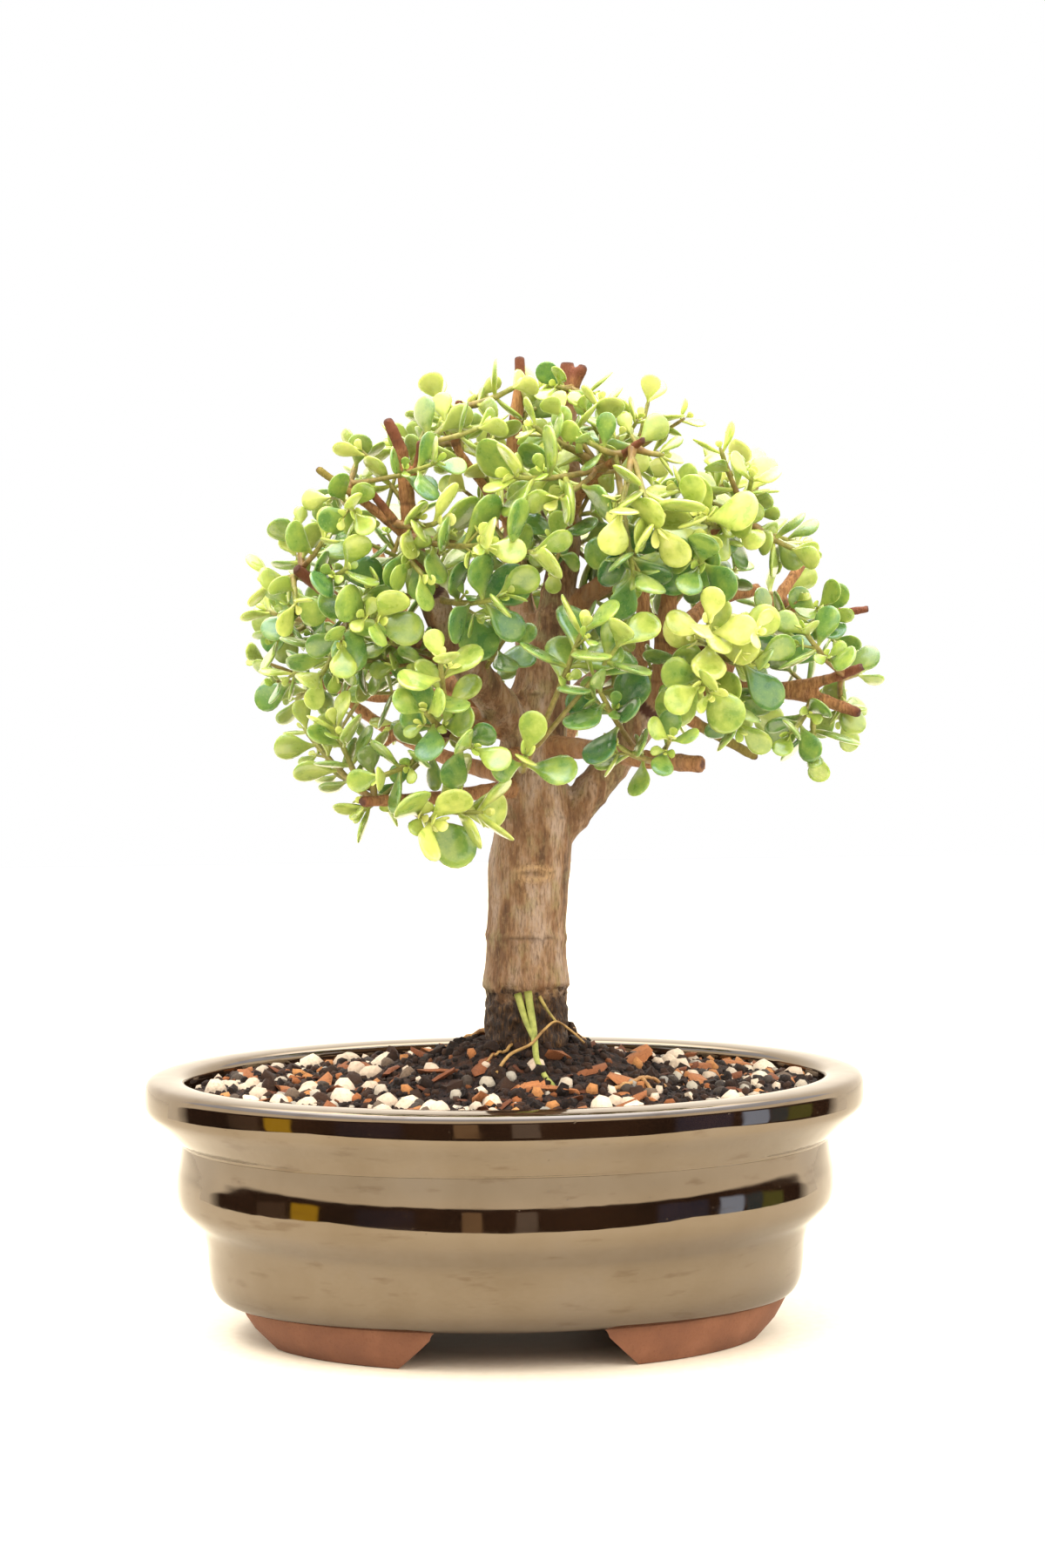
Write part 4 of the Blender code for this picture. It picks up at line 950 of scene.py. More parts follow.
def make_pot(glaze, clay):
    """The glazed bowl, and the unglazed feet with the pot's bare underside."""
    ends = curve_through(POT_END + POT_INSIDE, 4)
    fronts = curve_through(POT_FRONT + POT_INSIDE, 4)
    rings = []
    for (end_inset, end_height, _), (front_inset, front_height, _) in zip(ends, fronts):
        ring = oval(POT_HALF_X - end_inset, POT_HALF_Y - front_inset, end_height, POT_SIDES)
        for point in ring:
            point.z += (front_height - end_height) * (point.y / (POT_HALF_Y - front_inset)) ** 2
        rings.append(ring)
    bowl = make_loft("glazed_bowl", rings, [glaze])
    cut_with(bowl, drain_cutters(glaze))
    foot_top = (POT_HALF_X - FOOT_TOP_INSET, POT_HALF_Y - FOOT_TOP_INSET)
    rings = []
    for share in (0.0, 0.04, 0.5, 1.0):
        swell = 0.6 * math.sin(math.pi * share) - (0.5 if share == 0 else 0.0)
        rings.append(oval(FOOT_BOTTOM_X + (foot_top[0] - FOOT_BOTTOM_X) * share + swell,
                          FOOT_BOTTOM_Y + (foot_top[1] - FOOT_BOTTOM_Y) * share + swell,
                          POT_UNDERSIDE * share + 1.2 * (share == 1.0), POT_SIDES))
    shift_rings(rings, FOOT_MIDDLE_X)
    feet = make_loft("clay_feet", rings, [clay])
    hollow_rings = []
    for height in (-1.0, POT_UNDERSIDE):
        share = height / POT_UNDERSIDE
        hollow_rings.append(oval(FOOT_BOTTOM_X + (foot_top[0] - FOOT_BOTTOM_X) * share - FOOT_WIDTH,
                                 FOOT_BOTTOM_Y + (foot_top[1] - FOOT_BOTTOM_Y) * share - FOOT_WIDTH,
                                 height, POT_SIDES))
    shift_rings(hollow_rings, FOOT_MIDDLE_X)
    hollow = make_loft("hollow", hollow_rings, [clay])
    arches = [arch_cutter(FRONT_ARCH, POT_HALF_Y, False, clay),
              arch_cutter(END_ARCH, POT_HALF_X, True, clay)]
    cut_with(feet, [hollow] + arches + drain_cutters(clay))
    edge = feet.modifiers.new("worn_edges", "BEVEL")
    edge.width = WORN_EDGE * MM
    edge.segments = 2
    edge.limit_method = "ANGLE"
    edge.angle_limit = math.radians(35)
    apply_modifiers(feet)
    for piece in (bowl, feet):
        piece.data.shade_smooth()
        piece.data.set_sharp_from_angle(angle=math.radians(45))
    settle(bowl, "glaze", "pot")
    settle(feet, "glaze")


def mound_share(x, y):
    """One at the middle of the soil's mound, and towards zero away from it."""
    return math.exp(-((x - MOUND_CENTRE_X) / MOUND_REACH_X) ** 2 - (y / MOUND_REACH_Y) ** 2)


def soil_height(x, y):
    """Height of the soil, with its mound round the trunk and its low waves."""
    waves = 0.6 * math.sin(0.21 * x + 1.3) * math.cos(0.27 * y) + 0.5 * math.sin(0.09 * x - 0.17 * y)
    return SOIL_EDGE + SOIL_MOUND * mound_share(x, y) + waves


def crumbled_height(x, y):
    """The soil's height with the lumps and crumbs that show from close by."""
    place = Vector((x, y, 3.0))
    lumps = noise.fractal(place / LUMP_SIZE, 0.9, 2.2, 4) * (0.9 + 1.6 * mound_share(x, y))
    crumbs = noise.fractal(place / CRUMB_SIZE, 0.8, 2.1, 3) * CRUMB_HEIGHT
    edge = (x / (POT_HALF_X - SOIL_INSET)) ** 2 + (y / (POT_HALF_Y - SOIL_INSET)) ** 2
    return soil_height(x, y) + lumps + crumbs - SOIL_SETTLED * min(1.0, edge ** 2)


def make_soil(peat):
    """The bed of peat: its crumbled top, and plain sides down to the pot's floor."""
    rings = [oval(POT_HALF_X - inset, POT_HALF_Y - inset, height, SOIL_SIDES)
             for inset, height in SOIL_WALLS]
    half_x = POT_HALF_X - SOIL_INSET
    half_y = POT_HALF_Y - SOIL_INSET
    for step in range(SOIL_RINGS):
        share = 1 - step / SOIL_RINGS
        ring = oval(half_x * share, half_y * share, 0, SOIL_SIDES)
        for point in ring:
            point.x += MOUND_CENTRE_X * (1 - share)
            point.z = crumbled_height(point.x, point.y)
        rings.append(ring)
    return settle(make_loft("peat_bed", rings, [peat]), "soil", "soil")


def grain_mesh(name, draw, radius, stretch, level, rough):
    """One grain, which the scatter repeats."""
    work = bmesh.new()
    bmesh.ops.create_icosphere(work, subdivisions=level, radius=radius * MM)
    for vertex in work.verts:
        vertex.co *= draw.uniform(1.0 - rough, 1.0 + rough)
        vertex.co.x *= stretch[0]
        vertex.co.y *= stretch[1]
        vertex.co.z *= stretch[2]
    mesh = bpy.data.meshes.new(name)
    work.to_mesh(mesh)
    work.free()
    made = bpy.data.objects.new(name, mesh)
    bpy.context.scene.collection.objects.link(made)
    return made


def soil_patch(inner, outer):
    """The soil's top between two shares of its oval, with a value that rises to its edge."""
    points, faces, rims = [], [], []
    for step in range(PATCH_RINGS):
        share = inner + (outer - inner) * step / (PATCH_RINGS - 1)
        for corner in range(PATCH_SIDES):
            angle = math.tau * corner / PATCH_SIDES
            x = (POT_HALF_X - SOIL_INSET) * share * math.cos(angle) + MOUND_CENTRE_X * (1 - share)
            y = (POT_HALF_Y - SOIL_INSET) * share * math.sin(angle)
            points.append(to_world((x, y, crumbled_height(x, y))))
            rims.append(share)
    for step in range(PATCH_RINGS - 1):
        for corner in range(PATCH_SIDES):
            following = (corner + 1) % PATCH_SIDES
            low = step * PATCH_SIDES
            high = low + PATCH_SIDES
            faces.append([low + corner, high + corner, high + following, low + following])
    return make_mesh("patch", points, faces, [], values={"rim": rims})


def scatter_tree():
    """Geometry Nodes that strew copies of one grain over a patch, fewer of them towards its middle."""
    tree = bpy.data.node_groups.new("strewn_grains", "GeometryNodeTree")
    face = tree.interface
    for label, kind in SCATTER_INPUTS:
        face.new_socket(label, in_out="INPUT", socket_type="NodeSocket" + kind)
    face.new_socket("Geometry", in_out="OUTPUT", socket_type="NodeSocketGeometry")
    given = add(tree, "NodeGroupInput").outputs
    rim = add(tree, "GeometryNodeInputNamedAttribute", {"Name": "rim"},
              data_type="FLOAT").outputs["Attribute"]
    share = add(tree, "ShaderNodeMapRange", {
        "Value": rim, "From Min": 0.3, "From Max": 0.9,
        "To Min": given["Share in the middle"], "To Max": 1.0})
    drift = add(tree, "ShaderNodeTexNoise", {
        "W": given["Seed"], "Scale": 1.0 / (DRIFT_SIZE * MM), "Detail": 2.0}, noise_dimensions="4D")
    drifts = add(tree, "ShaderNodeMapRange", {
        "Value": drift.outputs["Fac"], "From Min": 0.42, "From Max": 0.56,
        "To Min": given["Share between drifts"]})
    dense = add(tree, "ShaderNodeMath", {0: share.outputs["Result"], 1: drifts.outputs["Result"]},
                operation="MULTIPLY")
    strewn = add(tree, "GeometryNodeDistributePointsOnFaces", {
        "Mesh": given["Geometry"], "Distance Min": given["Apart"],
        "Density Max": given["Grains per square metre"],
        "Density Factor": dense.outputs["Value"], "Seed": given["Seed"]}, distribute_method="POISSON")
    piece = add(tree, "GeometryNodeObjectInfo", {"Object": given["Grain"]}).outputs["Geometry"]
    lean = add(tree, "ShaderNodeCombineXYZ", {"X": given["Lean"], "Y": given["Lean"], "Z": math.pi})
    back = add(tree, "ShaderNodeVectorMath", {0: lean.outputs[0], 1: (-1, -1, -1)}, operation="MULTIPLY")
    turn = add(tree, "FunctionNodeRandomValue", {
        "Min": back.outputs[0], "Max": lean.outputs[0], "Seed": given["Seed"]}, data_type="FLOAT_VECTOR")
    size = add(tree, "FunctionNodeRandomValue", {
        2: given["Smallest"], 3: given["Largest"], "Seed": given["Seed"]}, data_type="FLOAT")
    copies = add(tree, "GeometryNodeInstanceOnPoints", {
        "Points": strewn.outputs["Points"], "Instance": piece,
        "Rotation": turn.outputs["Value"], "Scale": size.outputs[1]})
    tone = add(tree, "FunctionNodeRandomValue", {"Seed": given["Seed"]}, data_type="FLOAT")
    toned = add(tree, "GeometryNodeStoreNamedAttribute", {
        "Geometry": copies.outputs["Instances"], "Name": "tone", "Value": tone.outputs[1]},
        data_type="FLOAT", domain="INSTANCE")
    plain = add(tree, "GeometryNodeRealizeInstances", {"Geometry": toned.outputs["Geometry"]})
    finished = add(tree, "GeometryNodeSetMaterial", {
        "Geometry": plain.outputs["Geometry"], "Material": given["Material"]})
    add(tree, "NodeGroupOutput", {"Geometry": finished.outputs["Geometry"]})
    return tree


def strew(tree, name, material, seed, shares, shape, scatter):
    """Strews one kind of grain on the soil and settles it as one piece."""
    patch = soil_patch(*shares)
    grain = grain_mesh("grain", random.Random(seed), *shape)
    density, apart, smallest, largest, lean, middle, between = scatter
    values = {"Grain": grain, "Material": material, "Grains per square metre": density, "Apart": apart * MM,
              "Smallest": smallest, "Largest": largest, "Lean": lean, "Share in the middle": middle,
              "Share between drifts": between, "Seed": seed}
    step = patch.modifiers.new("scatter", "NODES")
    step.node_group = tree
    for socket in tree.interface.items_tree:
        if socket.name in values:
            step[socket.identifier] = values[socket.name]
    apply_modifiers(patch)
    bpy.data.objects.remove(grain)
    patch.name = name
    patch.data.name = name
    patch.data.polygons.foreach_set("use_smooth", [True] * len(patch.data.polygons))
    patch.data.set_sharp_from_angle(angle=math.radians(62))
    return settle(patch, "soil")


def make_grit():
    """Pumice, lava, bark chips and crumbs of peat lying in the soil."""
    looks = {key: grain_material(*look) for key, look in GRAIN_LOOKS.items()}
    tree = scatter_tree()
    for name, look, seed, shares, shape, scatter in GRAINS:
        strew(tree, name, looks[look], seed, shares, shape, scatter)


def tube_rings(route, radii, sides, side=None):
    """Rings of points round a route, turned alike along it."""
    rings = []
    last = len(route) - 1
    turns = [math.tau * corner / sides for corner in range(sides)]
    for index, centre in enumerate(route):
        ahead = (route[min(index + 1, last)] - route[max(index - 1, 0)]).normalized()
        side = side or ahead.orthogonal().normalized()
        side = (side - ahead * side.dot(ahead)).normalized()
        across = ahead.cross(side)
        rings.append([centre + (side * math.cos(turn) + across * math.sin(turn)) * radii[index]
                      for turn in turns])
    return rings


def tube_mesh(route, radii, sides):
    rings = tube_rings(route, radii, sides)
    return [point for ring in rings for point in ring], loft_faces(len(rings), sides)


def add_faces(points, faces, more_points, more_faces):
    """Adds the points and faces of one shape to those of a larger one."""
    first = len(points)
    points.extend(more_points)
    faces.extend([[index + first for index in face] for face in more_faces])


def limb_radii(route, start, end, swell, node_gap, key):
    """Radii along a limb: a collar where it leaves, a slow taper, and a ridge at each old leaf pair."""
    draw = random.Random(key)
    distance = 0.0
    ridge = node_gap * draw.uniform(0.3, 0.8)
    radii = []
    total = sum((b - a).length for a, b in zip(route, route[1:]))
    for index, point in enumerate(route):
        if index:
            distance += (point - route[index - 1]).length
        while distance > ridge + node_gap * 0.5:
            ridge += node_gap * draw.uniform(0.8, 1.25)
        radius = start + (end - start) * distance / total
        radius += swell * start * math.exp(-distance / (1.6 * start))
        radius += (0.10 * radius + 0.06) * bell(distance - ridge, 0.7)
        radii.append(radius)
    return radii


def fine_route(knots, spacing):
    """A smooth route with points about the given spacing apart."""
    rough = smooth_route(knots, 8)
    length = sum((b - a).length for a, b in zip(rough, rough[1:]))
    count = max(2, round(length / spacing))
    distances = distances_along(rough)
    route = []
    index = 1
    for step in range(count + 1):
        goal = length * step / count
        while index < len(rough) - 1 and distances[index] < goal:
            index += 1
        span = distances[index] - distances[index - 1]
        route.append(rough[index - 1].lerp(rough[index], (goal - distances[index - 1]) / span))
    return route


def wood_samples():
    """Names, routes and radii of the trunk and every limb."""
    samples = []
    trunk = fine_route(TRUNK, 1.0)
    radii = []
    for point in trunk:
        share = trunk.index(point) / (len(trunk) - 1)
        radius = blend(TRUNK_RADII, share)
        for height, depth in TRUNK_RINGS:
            radius += depth * bell(point.z - height, RING_WIDTH)
        radii.append(radius)
    samples.append(("trunk", trunk, radii))
    for number, (name, start, end, knots) in enumerate(LIMBS):
        route = fine_route(knots, 0.8)
        gap, swell = THICK_LIMB_FORM if start > THICK_LIMB else THIN_LIMB_FORM
        if name == NARROW_LIMB:
            start, swell = NARROW_START, 0.0
        samples.append((name, route, limb_radii(route, start, end, swell, gap, SEED + number)))
    return samples


def nearest_skin(samples, points):
    """For each point, the limb whose skin it lies on, its radius there, and the length left to its end."""
    names, centres, radii, left = [], [], [], []
    for name, route, limb in samples:
        lengths = distances_along(route)
        names.extend([name] * len(route))
        centres.extend(tuple(point) for point in route)
        radii.extend(limb)
        left.extend(lengths[-1] - length for length in lengths)
    centres = np.array(centres)
    radii = np.array(radii)
    nearest = []
    for start in range(0, len(points), POINTS_AT_ONCE):
        block = points[start:start + POINTS_AT_ONCE]
        gaps = np.linalg.norm(block[:, None, :] - centres[None, :, :], axis=2) - radii[None, :]
        nearest.extend(gaps.argmin(axis=1))
    return [(names[index], radii[index], left[index]) for index in nearest]


def make_wood(bark):
    """Trunk, limbs and cut stubs, melted together where they meet."""
    samples = wood_samples()
    points, faces = [], []
    for name, route, radii in samples:
        tube_points, tube_faces = tube_mesh(route, radii, TRUNK_SIDES if name == "trunk" else LIMB_SIDES)
        add_faces(points, faces, [to_world(point) for point in tube_points], tube_faces)
    wood = make_mesh("trunk_and_limbs", points, faces, [bark])
    melt = wood.modifiers.new("melt", "REMESH")
    melt.mode = "VOXEL"
    melt.voxel_size = WOOD_VOXEL * MM
    soften = wood.modifiers.new("soften", "SMOOTH")
    soften.factor = 0.5
    soften.iterations = 2
    apply_modifiers(wood)
    finish_bark(wood, samples)
    wood.data.materials.clear()
    wood.data.materials.append(bark)
    return settle(wood, "bark", "wood")


def finish_bark(wood, samples):
    """Moves the bark's skin by its lumps and scars, and gives each point its finish values."""
    keys = ("slim", "fresh", "olive", "ring", "soiled", "cut", "scar")
    values = {key: [] for key in keys}
    normals = [vertex.normal.copy() for vertex in wood.data.vertices]
    places = [to_plan(vertex.co) for vertex in wood.data.vertices]
    facts = nearest_skin(samples, np.array(places))
    for vertex, normal, point, (name, radius, left) in zip(wood.data.vertices, normals, places, facts):
        rough = noise.fractal(Vector((point.x, point.y, point.z * 0.35)) / 3.2, 0.9, 2.2, 4)
        move = 0.035 * min(radius, 8.0) * rough
        slim = clamp((4.6 - radius) / 2.6)
        if name == "trunk":
            move, ring, scar, soiled = finish_trunk(point, move)
            cut = 0.0
        else:
            ring = 0.8 * bell(left % LEAF_SCAR_GAP, 0.5) * (0.3 + 0.7 * slim)
            scar = soiled = 0.0
            cut = clamp(1.2 - left / 0.8)
        fresh = clamp((FRESH_REACH[name] - left) / 5.0) if name in FRESH_REACH else 0.0
        for key, value in zip(keys, (slim, fresh, float(name in OLIVE_LIMBS), ring, soiled, cut, scar)):
            values[key].append(value)
        vertex.co += normal * move * MM
    for key, numbers in values.items():
        attribute = wood.data.attributes.new(key, "FLOAT", "POINT")
        attribute.data.foreach_set("value", np.asarray(numbers, dtype=np.float32))
    wood.data.polygons.foreach_set("use_smooth", [True] * len(wood.data.polygons))


def finish_trunk(point, move):
    """A trunk point's full move along its normal, its growth ring, its callus and how soiled it is."""
    ragged = noise.fractal(point / 6.0, 0.9, 2.0, 3)
    ring = scar = 0.0
    for height, depth in TRUNK_RINGS:
        line = bell(point.z - height - 1.2 * ragged, 0.45)
        ring = max(ring, line * clamp(0.55 + 1.6 * ragged) * min(1.0, depth / 0.6))
    soiled = clamp((SOILED_BELOW + 3.0 * ragged - point.z) / 4.0 + 0.5)
    shed = clamp((BARK_EDGE + 2.0 * ragged - point.z) / 1.2 + 0.5)
    move += 0.7 * (1 - shed) * bell(point.z - BARK_EDGE, 5.0) - 0.35 * shed
    move += 0.8 * shed * noise.fractal(point / 2.4, 0.8, 2.0, 4)
    soiled = max(soiled, 0.5 * shed)
    aside = math.hypot((point.x - SCAR_PLACE[0]) / SCAR_HALF[0], (point.z - SCAR_PLACE[2]) / SCAR_HALF[1])
    if point.y < 0:
        scar = bell(aside - 0.75, 0.35)
        slit = bell(point.z - SCAR_PLACE[2] + 0.3 * ragged, 0.35) * (aside < 1.1)
        move += 0.8 * scar - 0.5 * slit
        ring = max(ring, slit)
    return move, ring, scar, soiled


def root_route(plan, heights):
    """Lays a root on the soil: high at the trunk, then just in the surface."""
    route = smooth_route([(x, y, 0) for x, y in plan], 10)
    last = len(route) - 1
    for index, point in enumerate(route):
        point.z = crumbled_height(point.x, point.y) + blend(heights, index / last)
    return route


def make_roots(skin):
    """The green aerial root that forks down the trunk, and the thin roots over the soil."""
    points, faces, fresh = [], [], []
    plans = [(radius, root_route(plan, heights), green) for radius, plan, heights, green in FINE_ROOTS]
    plans += [(radius, fine_route(knots, 1.0), green) for radius, knots, green in AERIAL_ROOTS]
    for radius, route, green in plans:
        count = len(route)
        radii = [radius * (1.0 - ROOT_TAPER * index / count) for index in range(count)]
        tube_points, tube_faces = tube_mesh(route, radii, ROOT_SIDES)
        add_faces(points, faces, [to_world(point) for point in tube_points], tube_faces)
        fresh.extend([green] * len(tube_points))
    roots = make_mesh("surface_roots", points, faces, [skin], values={"fresh": fresh})
    return settle(roots, "bark")


def plan_points(node):
    """A CAD node's points, in millimetres from the middle of the pot."""
    return [to_plan(vertex.co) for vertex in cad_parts[node].data.vertices]


def point_tree(points):
    tree = kdtree.KDTree(len(points))
    for index, point in enumerate(points):
        tree.insert(point, index)
    tree.balance()
    return tree


def wood_search():
    """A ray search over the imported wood, in millimetres."""
    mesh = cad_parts["wood"].data
    return BVHTree.FromPolygons(plan_points("wood"), [list(face.vertices) for face in mesh.polygons])


def find_twigs(number, spots, wood, packed):
    """Finds the start and bend that a packed spray grew with: its first corner is where they put it."""
    ends = [Vector(tip[:3]) for tip in SPRAYS[number]]
    near = sorted(spots, key=lambda spot: (spot - ends[0]).length + 0.35 * (spot - ends[-1]).length)
    for start in near[:STARTS_TRIED * 4:4]:
        for bend in BENDS:
            _, ahead = place_on(twig_path(start, ends[0], bend), 0.0)
            depth = wood.ray_cast(start, ahead)[3] or TWIG_RADII[0]
            for extra in STANDOFFS:
                twigs = spray_twigs(number, start, bend, depth + ROOM + extra)
                if packed.find(twigs[0].rings[0][2][0])[2] < MATCH:
                    return twigs, start
    return None, None


def leaf_choices(twig, tries):
    """For each leaf that a twig may bear, its pair and the leaf frames to try one after the other."""
    for stretch, pair in twig.bearing.items():
        for side in (pair % 2, pair % 2 + 2):
            place = sum(twig.quad(stretch, side), Vector()) / 4
            ahead, outward = twig.rings[stretch][1], twig.outward(stretch, side)
            yield pair, [leaf_frame(place, ahead, outward, twig.size, twig.key, pair, side, attempt)
                         for attempt in range(tries)]


def packed_leaves(twig, packed):
    """The leaves that a packed twig bears, each found by its tip."""
    found = []
    for pair, choices in leaf_choices(twig, LEAF_TRIES):
        for leaf in choices:
            tip = leaf[0] + leaf[1] * leaf[3] + leaf[2] * 0.1 * LEAF_THICK * leaf[3]
            if packed.find(tip)[2] < MATCH:
                found.append((leaf, pair))
                break
    return found


def leaf_grid(steps):
    """The shape of every leaf: reach along it, half width and half thickness."""
    reach = [LEAF_SINK] + [0.5 - 0.5 * math.cos(math.pi * step / (steps - 1)) for step in range(steps)]
    width, thick = [], []
    for share in reach:
        if share < LEAF_WIDEST:
            part = math.sin(math.pi / 2 * max(share, 0.0) / LEAF_WIDEST)
            width.append(LEAF_NECK + (1 - LEAF_NECK) * part ** 1.9)
        else:
            width.append(math.sqrt(max(0.0, 1 - ((share - LEAF_WIDEST) / (1 - LEAF_WIDEST)) ** 2)) + 0.004)
        thick.append(0.34 + 0.66 * math.sin(math.pi * min(1.0, max(share, 0.0) * 0.9 + 0.08)) ** 0.8)
        thick[-1] *= min(1.0, (width[-1] / 0.5) ** 0.7) if share > LEAF_WIDEST else 1.0
    return np.array(reach), np.array(width), np.array(thick)


def leaf_points(leaf, draw, steps, sides):
    """Points of one leaf, domed below and nearly flat above, with its own slight curl."""
    place, along, face, length = leaf
    across = face.cross(along)
    reach, width, thick = leaf_grid(steps)
    around = np.arange(sides) * math.tau / sides
    aside = np.sign(np.cos(around)) * np.abs(np.cos(around)) ** 0.85
    rise = np.sin(around)
    rise = np.where(rise > 0, DOME_ABOVE * rise, DOME_BELOW * rise)
    length *= LEAF_REACH
    half = length * FINE_LEAF_WIDTH * draw.uniform(0.93, 1.06)
    deep = length * LEAF_THICK * draw.uniform(0.9, 1.1)
    curl = draw.uniform(-0.05, 0.09) * length
    cup = draw.uniform(0.0, 0.16) * half
    twist = draw.uniform(-0.12, 0.12)
    forward = (reach * length)[:, None] + 0 * aside[None, :]
    sideways = (width * half)[:, None] * aside[None, :]
    share = (sideways / half) ** 2
    up = ((thick * deep)[:, None] * rise[None, :] + cup * share + curl * (reach ** 2)[:, None]
          + twist * sideways)
    up -= (GROOVE_DEPTH * deep * np.exp(-(sideways / (GROOVE_WIDTH * half)) ** 2) * (rise[None, :] > 0)
           * np.sin(np.pi * np.clip(reach, 0, 1))[:, None])
    spots = (np.array(place)[None, None, :] + forward[..., None] * np.array(along)
             + sideways[..., None] * np.array(across) + up[..., None] * np.array(face))
    edge = np.abs(aside)[None, :] ** 2.0 + 0 * reach[:, None]
    edge = np.maximum(edge, np.clip((reach - 0.9) / 0.1, 0, 1)[:, None])
    under = np.clip(-np.sin(around), 0, 1)[None, :] + 0 * reach[:, None]
    return spots.reshape(-1, 3), edge.ravel(), np.repeat(np.clip(reach, 0, 1), sides), under.ravel()


def twig_points(twig, lead):
    """A round, jointed tube along one twig, from inside what it grows on to its tip."""
    centres = [lead] + [ring[0] for ring in twig.rings]
    end, ahead, _ = twig.rings[-1]
    centres.append(end + ahead * 0.5)
    widths = [(ring[2][0] - ring[0]).length for ring in twig.rings]
    radii = [widths[0] * 1.25] + [width * 0.98 for width in widths] + [widths[-1] * 0.6]
    route = fine_route(centres, 0.9)
    count = len(route) - 1
    joints = [ring[0] for ring in twig.rings[len(twig.rings) % 2::2]]
    smooth = []
    for index, point in enumerate(route):
        radius = blend(radii, index / count)
        closest = min([(point - joint).length for joint in joints] or [9.0])
        smooth.append(radius * (1 + 0.16 * bell(closest, 1.0)))
    return tube_mesh(route, smooth, FINE_TWIG_SIDES), count + 1


class Foliage:
    """Gathers one spray's points, faces and finish values."""

    def __init__(self):
        self.points, self.faces, self.slots = [], [], []
        self.values = {key: [] for key in ("tone", "edge", "reach", "under", "fresh")}

    def add_shape(self, points, faces, slot, **values):
        add_faces(self.points, self.faces, points, faces)
        self.slots.extend([slot] * len(faces))
        for key, numbers in self.values.items():
            given = values.get(key, 0.0)
            numbers.extend([given] * len(points) if isinstance(given, float) else list(given))

    def add_leaf(self, leaf, tone, draw):
        steps, sides = LARGE_LEAF if leaf[3] > SMALL_LEAF_LENGTH else SMALL_LEAF
        spots, edge, reach, under = leaf_points(leaf, draw, steps, sides)
        CROWN.take(leaf)
        self.add_shape([Vector(spot) for spot in spots], loft_faces(steps + 1, sides), 0,
                       tone=float(tone), edge=edge, reach=reach, under=under)


class Crown:
    """Keeps the middles of all leaves in a grid of cells, to find free room quickly."""

    def __init__(self, cell):
        self.cell = cell
        self.cells = {}

    def key(self, middle):
        return tuple(math.floor(value / self.cell) for value in middle)

    def take(self, leaf):
        middle = leaf[0] + leaf[1] * leaf[3] * 0.6
        self.cells.setdefault(self.key(middle), []).append(middle)

    def has_room(self, leaf, clear):
        """Whether a leaf's middle stands clear of the middles of all others."""
        middle = leaf[0] + leaf[1] * leaf[3] * 0.6
        home = self.key(middle)
        for shift in CELL_SHIFTS:
            key = tuple(value + step for value, step in zip(home, shift))
            if any((middle - other).length < clear for other in self.cells.get(key, ())):
                return False
        return True


CROWN = Crown(CROWN_CELL)


def young_pair(place, ahead, turned, size, draw, angles):
    """Two small leaves that open opposite each other, still partly folded together."""
    for side in (1, -1):
        outward = turned * side
        angle = math.radians(draw.uniform(*angles))
        along = (ahead * math.cos(angle) + outward * math.sin(angle)).normalized()
        face = (ahead * math.sin(angle) - outward * math.cos(angle)).normalized()
        yield place + ahead * 0.2, along, face, size * draw.uniform(0.85, 1.15)


def axil_shoots(twig, draw):
    """Short side shoots in the angle between a twig and its leaves: place, direction and size."""
    for stretch, pair in twig.bearing.items():
        place, ahead, _ = twig.rings[stretch]
        for side in (pair % 2, pair % 2 + 2):
            if draw.random() > SHOOT_SHARE[min(pair, len(SHOOT_SHARE) - 1)]:
                continue
            outward = twig.outward(stretch, side)
            lean = math.radians(draw.uniform(*SHOOT_LEAN))
            along = (ahead * math.cos(lean) + outward * math.sin(lean)).normalized()
            reach = draw.uniform(*SHOOT_REACH)
            yield place + outward * 0.5 + ahead * 1.2, along, reach, draw.uniform(*SHOOT_LEAF)


def grow_shoot(foliage, shoot, age, draw):
    """Adds one side shoot: a short stem with a small pair, and a smaller pair at its tip."""
    place, along, reach, size = shoot
    tip = place + along * reach
    turned = along.cross(Vector((draw.uniform(-1, 1), draw.uniform(-1, 1), 0.4))).normalized()
    crossed = along.cross(turned).normalized()
    leaves = list(young_pair(tip, along, turned, size, draw, SHOOT_PAIR_OPENING))
    if not all(CROWN.has_room(leaf, 0.42 * size + 1.2) for leaf in leaves):
        return
    route = [place, place + along * reach * 0.5, tip, tip + along * 0.6]
    points, faces = tube_mesh(route, [0.5, 0.42, 0.45, 0.2], 6)
    foliage.add_shape(points, faces, 1, fresh=0.8)
    for leaf in leaves:
        foliage.add_leaf(leaf, min(1.0, age + draw.uniform(0.1, 0.35)), draw)
    for leaf in young_pair(tip + along * 0.4, along, crossed, size * 0.5, draw, SHOOT_TIP_OPENING):
        foliage.add_leaf(leaf, min(1.0, age + draw.uniform(0.3, 0.5)), draw)


